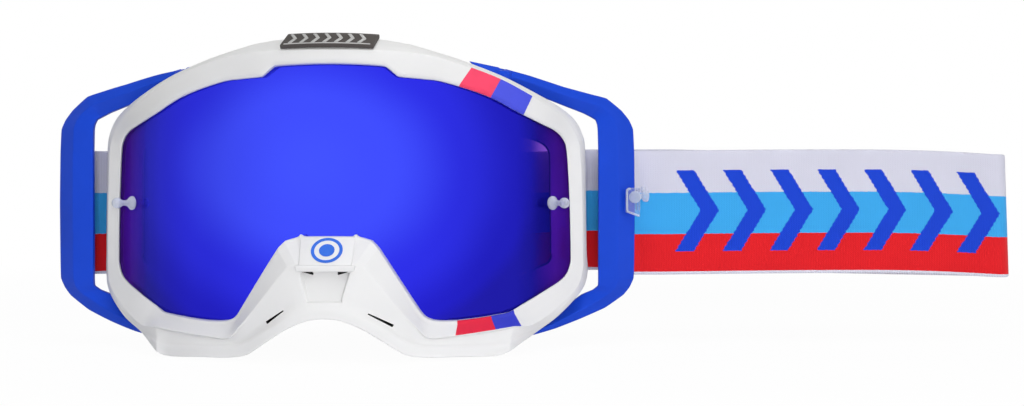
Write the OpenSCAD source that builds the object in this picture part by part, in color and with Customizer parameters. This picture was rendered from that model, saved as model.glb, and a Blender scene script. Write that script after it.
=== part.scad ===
// Motocross goggles, upright as worn, in millimetres.
// X runs to the viewer's right, Y from the lens towards the face, Z up.
// The origin is the middle of the face seal: mid-plane, temple plane, tear-off post height.

/* [Lens opening] */
// Width of the opening between the side lips
eye_w = 160; // [150:1:170]
// Height of the opening's brow edge above the posts
eye_top = 45; // [42:1:48]
// Depth of the opening's cheek edge below the posts
eye_low = 38.5; // [36:1:42]

/* [Lens] */
// Radius that the bent lens takes, to its front surface
lens_r = 104; // [102:0.5:110]
// How far the lens stands before the rear frame at its side lips
lens_side = 5.9; // [5.5:0.1:8]
// Thickness of the lens sheet
lens_t = 1.2; // [0.8:0.1:1.8]
// How far the lens edge reaches into its channel
lens_edge = 2.6; // [1.5:0.1:3]
// Play of the lens in its channel, each way
lens_gap = 0.15; // [0.1:0.05:0.3]

/* [Front frame] */
// Thickness of the lip in front of the lens
lip_t = 1.6; // [1.2:0.1:2.2]
// Thickness of the lip behind the lens
back_lip_t = 1.6; // [1:0.1:1.8]
// Wall of the frame at its rear edge
wall = 2.4; // [1.8:0.1:3]
// How far the brow stands forward of the lens
brow = 5.5; // [4:0.5:8]
// How far the cheek lobes and the nose stand forward of the lens
cheek = 12; // [9:0.5:14]

/* [Face seal] */
// Radius of the face surface, seen from above
face_r = 206; // [190:2:240]
// How far the brow's seal lies forward of the temples
face_rise = 17; // [15:0.5:19]
// Thickness of the rigid rear frame
rear_t = 2.5; // [2:0.1:3.2]
// Thickness of the foam layer glued to the rear frame
foam_base_t = 6; // [5:0.5:7]
// Thickness of the middle foam layer
foam_mid_t = 4; // [3:0.5:5]
// Thickness of the fleece against the skin
fleece_t = 3; // [2:0.5:4]
// Width of the foam ring
foam_w = 10; // [8:0.5:11]
// Height of a ventilation slot
vent_h = 4; // [3:0.5:5]
// Thickness of the filter foam behind the vents
vent_foam_t = 2.5; // [2:0.5:3]

/* [Outriggers] */
// Distance of each hinge pin from the mid-plane
hinge_x = 56; // [54:0.5:58]
// Radius of a hinge pin
pin_r = 1.5; // [1.2:0.1:1.8]
// Radial play of an outrigger on its pins
pin_play = 0.06; // [0.04:0.01:0.1]
// Radius of the round boss at each end of an outrigger
boss_r = 3.6; // [3.2:0.1:4.2]
// Thickness of an outrigger
arm_t = 3.6; // [3:0.1:4.4]
// Radius of the bar that holds the strap
bar_r = 1.75; // [1.5:0.05:2.2]

/* [Strap] */
// Width of the webbing
strap_w = 45.5; // [40:0.5:48]
// Thickness of the webbing
strap_t = 1.4; // [1:0.1:1.8]
// Length of the front run, from the bar to the fold
front_run = 143.5; // [110:0.5:180]
// Height of the webbing's middle below the posts
strap_drop = 3.5; // [2:0.5:5]
// Play between a strap loop and its bar
loop_play = 0.08; // [0.05:0.01:0.1]
// Length of the sewn loop beyond its bar
loop_len = 15; // [12:0.5:18]
// Length of an adjuster along the strap
adjuster_l = 21; // [17:0.5:26]
// Place of the adjuster along the back run, from the mid-plane
adjuster_x = 18; // [0:1:30]

/* [Fittings] */
// Length of a tear-off post
post_l = 6.4; // [5:0.1:8]
// Radius of a tear-off post's head
post_r = 2; // [1.6:0.1:2.6]
// Half width of the brow plaque
plaque_w = 16; // [12:0.5:20]
// Thickness of the brow plaque
plaque_t = 1.3; // [1:0.1:2]
// Radius of the round nose badge
badge_r = 5; // [4:0.1:5.8]
// Height of the clear tab clip
clip_h = 9; // [7:0.5:12]

/* [Hidden] */

white = [0.90, 0.90, 0.88];
blue = [0.10, 0.27, 0.85];
red = [0.85, 0.15, 0.20];
clear = [0.85, 0.90, 0.95];
foam_grey = [0.25, 0.25, 0.27];
rubber = [0.25, 0.23, 0.22];

// Gap that a glued or clipped joint leaves, thickness of a print, and room left where pieces travel
seat = 0.1;
skin = 0.3;
seat_gap = 0.3;
swing_room = 4.3;

// The outline points below belong to an opening 160 wide, 45 above the posts and 38.5 below them
function sx(x) = x * eye_w / 160;
function sz(z) = z > 0 ? z * eye_top / 45 : z * eye_low / 38.5;

// Surfaces that everything else is measured from: the face's, and the lens before it
face_axis_y = face_r - face_rise;
function face_y(x, depth) = face_axis_y - sqrt(pow(face_r + depth, 2) - x * x);
foam_t = foam_base_t + foam_mid_t + fleece_t;
lens_bulge = lens_r - sqrt(lens_r * lens_r - eye_w * eye_w / 4);
lens_front = lens_bulge + lens_side - face_y(eye_w / 2, foam_t + rear_t);
lens_axis_y = lens_r - lens_front;
function lens_y(x, deep = 0) = lens_axis_y - sqrt(pow(lens_r - deep, 2) - x * x);

// Half outline of the frame, from the middle of the brow round to the middle of the nose.
// Each row: lip x z and its extra reach, crease x z and its reach, outer edge x z and its reach,
// rear edge x z. Reaches are forward of the lens, as shares of the brow's or the cheeks' reach.
brow_row = 12;
rim_keys = [
    [0, 45.3, 0, 0, 49.6, 1, 0, 54.6, -0.3, 0, 50.5],
    [10, 45.1, 0, 10, 49.6, 1, 10, 54.4, -0.3, 10, 50.3],
    [18, 44.6, 0, 19, 49.5, 0.9, 19, 53.6, -0.2, 19, 49.6],
    [22.3, 41.4, 0, 27, 49, 0.75, 26, 52.4, -0.1, 27, 48.4],
    [30, 40.8, 0, 34.5, 48, 0.65, 34, 50.2, 0, 34, 46.8],
    [37, 40, 0, 41.5, 46.3, 0.6, 42, 48, 0, 41, 45],
    [51, 36, 0, 54.5, 42.2, 0.55, 55.5, 43.5, 0, 54.5, 39.6],
    [62, 30.8, 0, 65, 37.4, 0.5, 66, 39, 0, 65, 35],
    [70, 27.3, 0, 74, 32.6, 0.5, 76, 34.2, 0, 74.5, 31.4],
    [74.5, 25.3, 0, 79.2, 28.9, 0.5, 81.8, 30, 0.3, 79.8, 27.6],
    [77.6, 22.3, 0, 82.4, 23.8, 0.75, 84.8, 25, 0.6, 82.8, 23.4],
    [78.9, 17.5, 0, 83.8, 18.2, 0.95, 86, 19, 0.7, 84, 18],
    [79.9, 1, 0, 84.6, 1, 0.45, 86.2, 1, 0.35, 84.3, 1],
    [80.3, -17, 0, 84.8, -17, 0.45, 86.5, -17, 0.35, 84.5, -17],
    [80, -22, 0, 84.8, -23.6, 0.45, 87, -25, 0.3, 84, -23],
    [77.5, -26.5, 0, 82.5, -30, 0.5, 84.6, -31.2, 0.4, 81.5, -28],
    [70, -31, 0, 74.5, -37, 0.5, 76, -39.2, 0.45, 74, -33],
    [62.5, -35, 0, 66.5, -41.4, 0.6, 68, -44.6, 0.3, 66.5, -37.2],
    [58.5, -37.1, 0.1, 60.2, -41.4, 0.7, 58.8, -49.4, 0.95, 60, -39.6],
    [50, -38.2, 0.2, 51.5, -42.4, 0.72, 54, -50.8, 0.85, 53, -41],
    [41, -38.9, 0.24, 40.5, -43.4, 0.75, 42, -50.3, 0.9, 42, -42],
    [34.2, -38.6, 0.24, 30.5, -44, 0.8, 31, -49, 0.95, 31, -41.6],
    [30.8, -37, 0.24, 26, -41.2, 0.85, 24, -47.6, 1, 24, -39.5],
    [28.3, -33.6, 0.26, 23.2, -36.4, 0.9, 18.5, -44.4, 1.1, 19, -35.5],
    [21.3, -22.6, 0.28, 17, -26, 0.92, 12.5, -40.6, 1.15, 14.5, -29],
    [16.2, -14.6, 0.24, 12.6, -19, 0.9, 8, -38.5, 1.15, 10, -24],
    [13.2, -11.8, 0.2, 9.3, -17.6, 0.85, 5, -37.5, 1.15, 6, -21.4],
    [8, -11.1, 0.17, 5.5, -17, 0.8, 2.5, -37.1, 1.15, 3, -20.3],
    [0, -11, 0.17, 0, -17, 0.8, 0, -37, 1.15, 0, -20]];
rim_last = len(rim_keys) - 1;
rim_steps = 2;

// The row at place u round the half outline, on a smooth curve through the rows
function flip(r) = [for (i = [0:len(r) - 1]) (i == 0 || i == 3 || i == 6 || i == 9) ? -r[i] : r[i]];
function reached(r, i) = [for (c = [0:10])
    (c == 2 || c == 5 || c == 8) ? r[c] * (i < brow_row ? brow : cheek) : r[c]];
function key(i) =
    i < 0 ? flip(key(-i)) :
    i > rim_last ? flip(key(2 * rim_last - i)) : reached(rim_keys[i], i);
function bend(a, b, c, d, t) =
    (2 * b + (c - a) * t + (2 * a - 5 * b + 4 * c - d) * t * t + (3 * b - a - 3 * c + d) * t * t * t) / 2;
function rim(u) = let (i = min(floor(u), rim_last - 1))
    bend(key(i - 1), key(i), key(i + 1), key(i + 2), u - i);

function lip(r) = [sx(r[0]), sz(r[1])];
function crease(r) = [sx(r[3]), sz(r[4])];
function edge(r) = [sx(r[6]), sz(r[7])];
function rear(r) = [sx(r[9]), sz(r[10])];
function outward(r) = let (d = edge(r) - lip(r)) d / norm(d);
function on_lens(p, forward) = [p[0], lens_y(p[0]) - forward, p[1]];
function in_lens(p, deep) = [p[0], lens_y(p[0], deep), p[1]];
function on_face(p, depth) = [p[0], face_y(p[0], depth), p[1]];

// Closed cross-section of the front frame at one place round the rim
lip_slope = 1.2;
lip_rise = 0.8;
back_lip_inset = 0.6;
function rim_section(r) = let (o = outward(r), floor_p = lip(r) + o * (lens_edge + lens_gap),
        back_p = lip(r) + o * back_lip_inset, rear_d = foam_t + rear_t + seat) [
    on_lens(lip(r), lip_t + r[2]),
    on_lens(lip(r), lens_gap),
    on_lens(floor_p, lens_gap),
    in_lens(floor_p, lens_t + lens_gap),
    in_lens(back_p, lens_t + lens_gap),
    in_lens(back_p, lens_t + lens_gap + back_lip_t),
    on_face(rear(r) - o * wall, rear_d),
    on_face(rear(r), rear_d),
    on_lens(edge(r), r[8]),
    on_lens(crease(r), r[5]),
    on_lens(lip(r) + o * lip_slope, lip_t + r[2] + lip_rise)];

rim_places = [for (i = [0:rim_last * rim_steps]) i / rim_steps];
function mirrored(p) = [for (q = p) [-q[0], q[1], q[2]]];
rim_rings = concat(
    [for (u = rim_places) rim_section(rim(u))],
    [for (i = [len(rim_places) - 2:-1:1]) mirrored(rim_section(rim(rim_places[i])))]);

// A closed tube through rings of points, the last ring joined to the first
module ring_tube(rings) {
    n = len(rings);
    m = len(rings[0]);
    sides = [for (i = [0:n - 1], j = [0:m - 1], half = [0, 1])
        let (a = i * m + j, b = i * m + (j + 1) % m,
            c = ((i + 1) % n) * m + (j + 1) % m, d = ((i + 1) % n) * m + j)
        half == 0 ? [a, c, b] : [a, d, c]];
    polyhedron([for (r = rings) each r], sides, convexity = 10);
}

// A closed bar through rings of points, with flat ends
module ring_bar(rings) {
    n = len(rings);
    m = len(rings[0]);
    sides = [for (i = [0:n - 2], j = [0:m - 1], half = [0, 1])
        let (a = i * m + j, b = i * m + (j + 1) % m,
            c = (i + 1) * m + (j + 1) % m, d = (i + 1) * m + j)
        half == 0 ? [a, b, c] : [a, c, d]];
    last = (n - 1) * m;
    caps = [for (j = [1:m - 2]) each [[0, j + 1, j], [last, last + j, last + j + 1]]];
    polyhedron([for (r = rings) each r], concat(sides, caps), convexity = 10);
}

// A front-view outline carried along Y between two distances
module along_y(y0, y1) {
    translate([0, y1, 0]) rotate([90, 0, 0]) linear_extrude(y1 - y0) children();
}

// A front-view outline: the rim's places, moved by one of the functions above
function lens_outline_at(u) = let (r = rim(u)) lip(r) + outward(r) * lens_edge;
function seal_outline_at(u, inset) = let (r = rim(u)) rear(r) - outward(r) * inset;
function both_halves(half) = concat(half,
    [for (i = [len(half) - 2:-1:1]) [-half[i][0], half[i][1]]]);
function seal_outline(inset) = both_halves([for (u = rim_places) seal_outline_at(u, inset)]);

// The curved slab between two depths in front of the face
module face_slab(front, back) {
    tall = 2 * (eye_top + eye_low);
    translate([0, face_axis_y, -tall / 2]) difference() {
        cylinder(r = face_r + front, h = tall, $fn = 240);
        translate([0, 0, -1]) cylinder(r = face_r + back, h = tall + 2, $fn = 240);
    }
}

module seal_ring(outer, inner, front, back) {
    intersection() {
        face_slab(front, back);
        along_y(-lens_front, 2 * face_rise) difference() {
            polygon(seal_outline(outer));
            polygon(seal_outline(inner));
        }
    }
}

// Heights and places that the hinge and the strap share
hinge_out = 2.2;
hinge_at = sx(hinge_x);
hinge_y = face_y(hinge_at, foam_t + rear_t) - hinge_out;
lug_t = 1.4;
lug_top = sz(42.6);
lug_low = sz(-44.1);
boss_gap = 0.4;
boss_h = 3.6;
arm_drop = 0.4;
pin_l = lug_t + boss_gap + boss_h - arm_drop;
strap_mid = -strap_drop;
strap_room = 1;
bar_x = sx(100.5);
bar_back = 18;
bar_y = hinge_y + bar_back;
bar_top = strap_mid + strap_w / 2 + strap_room;
bar_low = strap_mid - strap_w / 2 - strap_room;
ear_h = 3;
ear_l = 8;
fold_x = bar_x + front_run;
behind_foam = 3.2;
fold_pinch = 1.6;
temple_x = sx(82);
back_y = face_y(temple_x, 0) + behind_foam;
fold_r = (back_y - bar_y) / 2 - fold_pinch;

module front_frame() {
    color(white) difference() {
        ring_tube(rim_rings);
        nose_pocket();
        guard_slots();
        vent_slots();
    }
}

// The stepped pocket under the badge, with its shelf
module nose_pocket() {
    top = sz(-22.5);
    low = sz(-31.6);
    top_half = sx(7.4);
    low_half = sx(4.6);
    depth = 2;
    front = -lens_front - cheek;
    translate([0, front + depth, 0]) rotate([90, 0, 0]) linear_extrude(depth * 4)
        polygon([[-top_half, top], [top_half, top], [low_half, low], [-low_half, low]]);
}

// The two slits at the sides of the nose that take a clip-on guard
module guard_slots() {
    slot_l = 7.4;
    slot_h = 1;
    slope = 33;
    for (side = [-1, 1])
        translate([side * sx(17), -lens_front - cheek, sz(-37.6)])
            rotate([0, side * slope, 0])
                cube([slot_l, 2 * cheek, slot_h], center = true);
}

// Slots through the brow's top wall and the cheeks' floor
module vent_slots() {
    top_l = 13;
    low_l = 10.4;
    before_rear = 8;
    through = 16;
    brow_z = sz(50);
    cheek_z = sz(-43);
    for (x = [-33, -11, 11, 33])
        translate([sx(x), face_y(sx(x), foam_t + rear_t) - before_rear, brow_z])
            cube([top_l, vent_h, through], center = true);
    for (x = [-49, -34, 34, 49])
        translate([sx(x), face_y(sx(x), foam_t + rear_t) - before_rear, cheek_z])
            cube([low_l, vent_h, through], center = true);
}

module rear_frame() {
    color(white) difference() {
        union() {
            seal_ring(0, foam_w + 1, foam_t + rear_t, foam_t);
            for (side = [-1, 1]) {
                hinge_lug(side, lug_top, -1);
                hinge_lug(side, lug_low, 1);
            }
        }
        for (side = [-1, 1])
            translate([side * hinge_at, hinge_y, -eye_low * 2])
                cylinder(r = pin_r + pin_play / 2, h = 4 * eye_low, $fn = 48);
    }
}

// A tongue that carries a hinge pin: it grows from the rear frame, inward is -1 at the top
module hinge_lug(side, z, inward) {
    root_h = 6;
    x = side * hinge_at;
    root_y = face_y(hinge_at, foam_t + rear_t);
    low = inward < 0 ? z - lug_t : z;
    translate([x, hinge_y, low]) cylinder(r = boss_r, h = lug_t, $fn = 48);
    translate([x - boss_r, hinge_y, low]) cube([2 * boss_r, root_y + rear_t / 3 - hinge_y, lug_t]);
    intersection() {
        face_slab(foam_t + rear_t, foam_t);
        translate([x - boss_r, root_y - boss_r, inward < 0 ? z - root_h : z])
            cube([2 * boss_r, 4 * boss_r, root_h]);
    }
}

module pin_pair(side) {
    for (low = [lug_top - lug_t, lug_low - boss_gap - boss_h + arm_drop])
        translate([side * hinge_at, hinge_y, low]) cylinder(r = pin_r, h = pin_l, $fn = 48);
}
module hinge_pins_left() {
    color("silver") pin_pair(-1);
}
module hinge_pins_right() {
    color("silver") pin_pair(1);
}

module lens() {
    color([0.15, 0.2, 0.95, 0.8]) intersection() {
        translate([0, lens_axis_y, -eye_low * 2]) difference() {
            cylinder(r = lens_r, h = 4 * eye_low, $fn = 240);
            translate([0, 0, -1]) cylinder(r = lens_r - lens_t, h = 4 * eye_low + 2, $fn = 240);
        }
        along_y(-lens_front - 5, 0)
            polygon(both_halves([for (u = rim_places) lens_outline_at(u)]));
    }
}

// A dumbbell post that stands square on the lens, for tear-off films
module tear_off_post(side) {
    x = sx(73.5);
    turn = asin(x / lens_r);
    translate([side * x, lens_y(x), 0]) rotate([0, 0, side * turn]) rotate([90, 0, 0])
        rotate_extrude($fn = 48) polygon([
            [0, 0], [post_r * 1.2, 0], [post_r * 1.2, 0.8], [post_r * 0.55, 1.6],
            [post_r * 0.5, post_l - 3.2], [post_r * 0.9, post_l - 2.6],
            [post_r, post_l - 1.6], [post_r * 0.7, post_l - 0.4], [0, post_l]]);
}
module post_left() {
    color(clear) tear_off_post(-1);
}
module post_right() {
    color(clear) tear_off_post(1);
}

// The three foam layers; each is set a little further in than the one before
foam_inset = 1.2;
foam_step = 0.5;
module foam_base() {
    color(foam_grey) seal_ring(foam_inset, foam_w, foam_t, fleece_t + foam_mid_t);
}
module foam_middle() {
    color(foam_grey)
        seal_ring(foam_inset + foam_step, foam_w + foam_step, fleece_t + foam_mid_t, fleece_t);
}
module foam_fleece() {
    color(foam_grey) seal_ring(foam_inset + 2 * foam_step, foam_w + 2 * foam_step, fleece_t, 0);
}

// A strip of filter foam that lies along the inside of the frame's wall, between two rim places
module vent_foam(places, side) {
    from_front = 0.2;
    to_rear = 0.85;
    rings = [for (u = places) let (r = rim(abs(u)), o = outward(r), s = rim_section(r),
            run = s[6] - s[5], into = [-o[0], 0, -o[1]],
            a = s[5] + run * from_front + into * seat_gap,
            b = s[5] + run * to_rear + into * seat_gap,
            q = [a, b, b + into * vent_foam_t, a + into * vent_foam_t])
        u * side < 0 ? mirrored(q) : q];
    ring_bar(rings);
}
module vent_foam_top() {
    color(foam_grey) vent_foam([-5:0.5:5], 1);
}
module vent_foam_cheek_left() {
    color(foam_grey) vent_foam([21.5:-0.5:18.5], -1);
}
module vent_foam_cheek_right() {
    color(foam_grey) vent_foam([18.5:0.5:21.5], 1);
}

// A rubber plaque bent round the brow
module brow_plaque() {
    front_r = lens_r + brow;
    back_r = lens_r - 0.3 * brow;
    half = asin(sx(plaque_w) / front_r);
    low = sz(49.9) + skin;
    rise = sz(54.9) - sz(49.9);
    color(rubber) translate([0, lens_axis_y, low])
        rotate([0, 0, -90 - half]) rotate_extrude(angle = 2 * half, $fn = 240) polygon([
            [front_r - 0.6, 0.3], [front_r + 0.2, 0.3 + plaque_t],
            [back_r + 0.6, rise + plaque_t], [back_r, rise]]);
}

// A round print on the nose: a ring round a dot
module nose_badge() {
    print_t = 0.5;
    ring_w = 0.9;
    dot_r = badge_r - 2.4;
    front = -lens_front - cheek * 0.86 - print_t;
    color(blue) translate([0, front, sz(-16.2)]) rotate([90, 0, 0]) {
        difference() {
            cylinder(r = badge_r, h = print_t, $fn = 64);
            translate([0, 0, -1]) cylinder(r = badge_r - ring_w, h = print_t + 2, $fn = 64);
        }
        cylinder(r = dot_r, h = print_t, $fn = 64);
    }
}

// A point of the frame's section at any place, on the flat facets between its rings
function facet_point(u, i) = let (a = floor(u * rim_steps), t = u * rim_steps - a)
    rim_section(rim(a / rim_steps))[i] * (1 - t) + rim_section(rim((a + 1) / rim_steps))[i] * t;

// A thin printed panel on the frame's front face, between two places on the rim
module decal(from, to) {
    over = [0, -seat - skin, 0];
    under = [0, -seat, 0];
    inside = [for (i = [ceil(from * rim_steps):floor(to * rim_steps)]) i / rim_steps];
    rings = [for (u = concat([from], inside, [to]))
        let (a = facet_point(u, 10), b = facet_point(u, 9))
        [a + under, a + over, b + over, b + under]];
    ring_bar(rings);
}
module decal_brow_red() {
    color(red) decal(5.37, 6.1);
}
module decal_brow_blue() {
    color(blue) decal(6.1, 7.15);
}
module decal_cheek_red() {
    color(red) decal(18.85, 19.95);
}
module decal_cheek_blue() {
    color(blue) decal(17.75, 18.85);
}

// Front face of an outrigger: each row is outer x, its place behind the hinge, z, then inner
arm_rows = [
    [44.5, -1.5, 49, 48, -2, 46.4],
    [56, -1.2, 46.9, 56, -2, 43],
    [61, -0.4, 45.8, 61, -0.8, 43.1],
    [66, 0.5, 44.6, 66, 0.5, 39.4],
    [78, 3, 41.3, 77.7, 3.6, 35],
    [88, 5, 38.5, 84.8, 4.6, 32.4],
    [94, 6, 36.8, 87.6, 3.8, 30.9],
    [98.7, 7, 33.3, 89.4, 3, 29.8],
    [101.5, 8, 30, 90, 2.6, 28],
    [103.2, 8.9, 26.5, 90.2, 2.6, 26],
    [103.7, 9.5, 18, 90.4, 2.8, 18],
    [103.9, 9.7, 0, 90.4, 3, 0],
    [103.7, 9.7, -20, 90.4, 3.2, -20],
    [103.3, 9.5, -26, 90.4, 3.2, -27],
    [101.6, 8.5, -30.4, 90.3, 3.6, -29.6],
    [99.6, 7.5, -32.9, 88.5, 4.6, -31.2],
    [93, 6.5, -37.5, 84.5, 6.3, -33],
    [84, 5, -41.3, 79.5, 6.3, -36.6],
    [75, 3.5, -44.6, 73, 4.5, -41],
    [66, 0.5, -46.9, 66, 0.5, -44.4],
    [54, -2, -48.4, 54, -2.2, -44.6]];
fold_share = 0.36;
fold_out = [0, -0.7, 0];
fold_thick = [0, 0.2, 0];
inner_t = 0.7 * arm_t;
function arm_point(x, y, z) = [sx(x), hinge_y + y * bar_back / 18, sz(z)];
function arm_section(r, side) = let (
        turned = [side, 1, 1],
        outer = [for (i = [0:2]) arm_point(r[0], r[1], r[2])[i] * turned[i]],
        inner = [for (i = [0:2]) arm_point(r[3], r[4], r[5])[i] * turned[i]],
        fold = inner * (1 - fold_share) + outer * fold_share + fold_out,
        back = [0, arm_t, 0],
        s = [inner, fold, outer, outer + back, fold + back + fold_thick, inner + [0, inner_t, 0]])
    side > 0 ? s : [for (i = [5:-1:0]) s[i]];

module outrigger(side) {
    bosses = [lug_top + boss_gap, lug_low - boss_gap - boss_h];
    difference() {
        union() {
            ring_bar([for (r = arm_rows) arm_section(r, side)]);
            for (low = bosses)
                translate([side * hinge_at, hinge_y, low]) cylinder(r = boss_r, h = boss_h, $fn = 48);
            strap_bar(side);
        }
        for (low = bosses)
            translate([side * hinge_at, hinge_y, low - 1.5])
                cylinder(r = pin_r + pin_play, h = boss_h + 3, $fn = 48);
    }
}
module outrigger_left() {
    color(blue) outrigger(-1);
}
module outrigger_right() {
    color(blue) outrigger(1);
}

// The bar behind the outrigger's outer edge, with the two ears that carry it
module strap_bar(side) {
    translate([side * bar_x, bar_y, bar_low - ear_h])
        cylinder(r = bar_r, h = bar_top - bar_low + 2 * ear_h, $fn = 48);
    for (z = [bar_low - ear_h, bar_top])
        translate([side * bar_x - bar_r, bar_y - ear_l, z]) cube([2 * bar_r, ear_l, ear_h]);
}

// Sewn end of the webbing round its bar; lay is the direction it leaves in
module strap_loop(side, lay) {
    inner = bar_r + loop_play;
    outer = inner + strap_t;
    seam = outer + 3;
    translate([side * bar_x, bar_y, strap_mid - strap_w / 2]) rotate([0, 0, lay])
        linear_extrude(strap_w) difference() {
            union() {
                circle(r = outer, $fn = 48);
                polygon([[0, -outer], [seam, -strap_t], [loop_len, -strap_t],
                    [loop_len, strap_t], [seam, strap_t], [0, outer]]);
            }
            circle(r = inner, $fn = 48);
        }
}
left_lay = 32;
module strap_loop_left() {
    color(white) strap_loop(-1, left_lay);
}
module strap_loop_right() {
    color(white) strap_loop(1, 0);
}

// Webbing from the right loop out to the fold and back behind the goggles to the left loop
strap_start = bar_x + loop_len + seat_gap;
strap_end = -(bar_x - loop_len * cos(left_lay) - swing_room);
fold_mid_y = back_y - fold_r;
front_end_y = back_y - 2 * fold_r;
module strap() {
    half = strap_t / 2;
    turn_x = fold_x - fold_r - half;
    color(red) translate([0, 0, strap_mid - strap_w / 2]) linear_extrude(strap_w) difference() {
        union() {
            polygon([[strap_start, bar_y - half], [turn_x, front_end_y - half],
                [turn_x, back_y + half], [strap_end, back_y + half],
                [strap_end, back_y - half], [strap_start, back_y - half]]);
            translate([turn_x, fold_mid_y]) circle(r = fold_r + half, $fn = 64);
        }
        polygon([[strap_start - 1, bar_y + half], [strap_start, bar_y + half],
            [turn_x, front_end_y + half], [turn_x, back_y - half],
            [strap_start - 1, back_y - half]]);
        translate([turn_x, fold_mid_y]) circle(r = fold_r - half, $fn = 64);
    }
}

// Rubber beads on the strap's inner side that keep it from slipping on a helmet
module grip_beads() {
    bead_w = 4;
    bead_t = 0.5;
    bead_pitch = 13;
    bead_end = fold_x - 2 * fold_r - 4;
    color(clear) for (z = [-bead_pitch, 0, bead_pitch])
        translate([strap_start, back_y - strap_t / 2 - bead_t, strap_mid + z - bead_w / 2])
            cube([bead_end - strap_start, bead_t, bead_w]);
}

// A three-bar slider: two bars behind the webbing, one in front, joined by side rails
module adjuster() {
    play = 0.3;
    rail = 2.5;
    bar = 4;
    bar_t = 1.6;
    tall = strap_w + 2 * (rail + play);
    deep = strap_t / 2 + play;
    color(rubber) translate([adjuster_x, back_y, strap_mid]) {
        for (side = [-1, 1])
            translate([-adjuster_l / 2, -deep - bar_t, side * (strap_w / 2 + play + rail / 2) - rail / 2])
                cube([adjuster_l, 2 * (deep + bar_t), rail]);
        translate([-bar / 2, -deep - bar_t, -tall / 2]) cube([bar, bar_t, tall]);
        for (side = [-1, 1])
            translate([side * (adjuster_l - bar) / 2 - bar / 2, deep, -tall / 2]) cube([bar, bar_t, tall]);
    }
}

// A clear clip on the right outrigger's edge that parks the tabs of the tear-off films
module tab_clip() {
    plate_t = 0.9;
    plate_w = 5;
    x = sx(100.2);
    y = hinge_y + 6.5;
    front = y - plate_t - skin;
    peg_y = y + 1;
    peg_z = 2;
    color(clear) {
        translate([x, front, -clip_h / 2 + 1.2]) cube([plate_w, plate_t, clip_h]);
        translate([x + plate_w - plate_t, front, -2]) cube([plate_t, arm_t + 4, 6]);
        translate([x + plate_w, peg_y, peg_z]) rotate([0, 90, 0]) cylinder(r = 1, h = 3.4, $fn = 32);
        translate([x + plate_w + 2.4, peg_y, peg_z]) rotate([0, 90, 0])
            cylinder(r = 1.9, h = 1.6, $fn = 32);
    }
}

front_frame();
rear_frame();
lens();
post_left();
post_right();
foam_base();
foam_middle();
foam_fleece();
vent_foam_top();
vent_foam_cheek_left();
vent_foam_cheek_right();
brow_plaque();
nose_badge();
decal_brow_red();
decal_brow_blue();
decal_cheek_red();
decal_cheek_blue();
hinge_pins_left();
hinge_pins_right();
outrigger_left();
outrigger_right();
tab_clip();
strap_loop_left();
strap_loop_right();
strap();
grip_beads();
adjuster();
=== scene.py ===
"""Motocross goggles with a blue mirror lens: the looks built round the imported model.

Everything is worked out in millimetres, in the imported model's frame, and scaled to metres in each mesh.
X runs to the viewer's right, Y from the lens towards the face, Z up.
"""
import math

import bmesh
import bpy
import numpy as np
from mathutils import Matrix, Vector


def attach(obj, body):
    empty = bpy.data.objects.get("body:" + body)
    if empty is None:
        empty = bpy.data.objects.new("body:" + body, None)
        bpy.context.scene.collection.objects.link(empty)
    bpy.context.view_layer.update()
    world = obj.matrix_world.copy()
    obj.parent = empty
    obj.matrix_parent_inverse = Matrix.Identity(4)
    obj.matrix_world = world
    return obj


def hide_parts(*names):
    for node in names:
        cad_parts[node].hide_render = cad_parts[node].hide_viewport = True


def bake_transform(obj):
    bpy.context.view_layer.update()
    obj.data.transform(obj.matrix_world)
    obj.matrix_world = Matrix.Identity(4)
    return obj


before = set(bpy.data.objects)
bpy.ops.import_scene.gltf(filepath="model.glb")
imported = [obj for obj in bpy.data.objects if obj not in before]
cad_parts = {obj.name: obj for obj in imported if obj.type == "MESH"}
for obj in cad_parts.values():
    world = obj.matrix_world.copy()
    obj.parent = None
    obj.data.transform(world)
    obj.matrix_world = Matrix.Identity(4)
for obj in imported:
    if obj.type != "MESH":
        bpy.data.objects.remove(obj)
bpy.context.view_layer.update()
scene = bpy.context.scene
MM = 0.001

# Camera

FOCAL_PX, FRAME_PX, SENSOR = 1267.0, 1024.0, 36.0
CAMERA_AT = (0.0595, -0.475, 0.0)
cam_data = bpy.data.cameras.new("camera")
cam_data.sensor_width = SENSOR
cam_data.lens = SENSOR * FOCAL_PX / FRAME_PX
cam_data.clip_start = 0.01
camera = bpy.data.objects.new("camera", cam_data)
scene.collection.objects.link(camera)
camera.location = CAMERA_AT
camera.rotation_euler = (math.pi / 2, 0.0, 0.0)
scene.camera = camera

# Sizes repeated from the part's source, in millimetres

LENS_R, LENS_FRONT, LENS_T, LENS_GAP, LENS_EDGE = 104.0, 60.997, 1.2, 0.15, 2.6
LENS_AXIS = LENS_R - LENS_FRONT
FACE_R, FACE_AXIS = 206.0, 189.0
BACK_LIP_T, WALL = 1.6, 2.4
BROW, CHEEK, BROW_ROWS = 5.5, 12.0, 12
REAR_T, FOAM_BASE, FOAM_MID, FLEECE, FOAM_W = 2.5, 6.0, 4.0, 3.0, 10.0
FOAM_T = FOAM_BASE + FOAM_MID + FLEECE
FRAME_REAR = FOAM_T + REAR_T
STRAP_W, STRAP_T, STRAP_MID = 45.5, 1.4, -3.5
BAR_R, BAR_X = 1.75, 100.5
HINGE_X = 56.0


def lens_y(x, deep=0.0):
    """Depth of the lens's front at x, or of a surface deep behind it."""
    return LENS_AXIS - np.sqrt((LENS_R - deep) ** 2 - np.asarray(x, float) ** 2)


def face_y(x, depth):
    """Depth of a surface that stands depth before the face."""
    return FACE_AXIS - np.sqrt((FACE_R + depth) ** 2 - np.asarray(x, float) ** 2)


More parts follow.
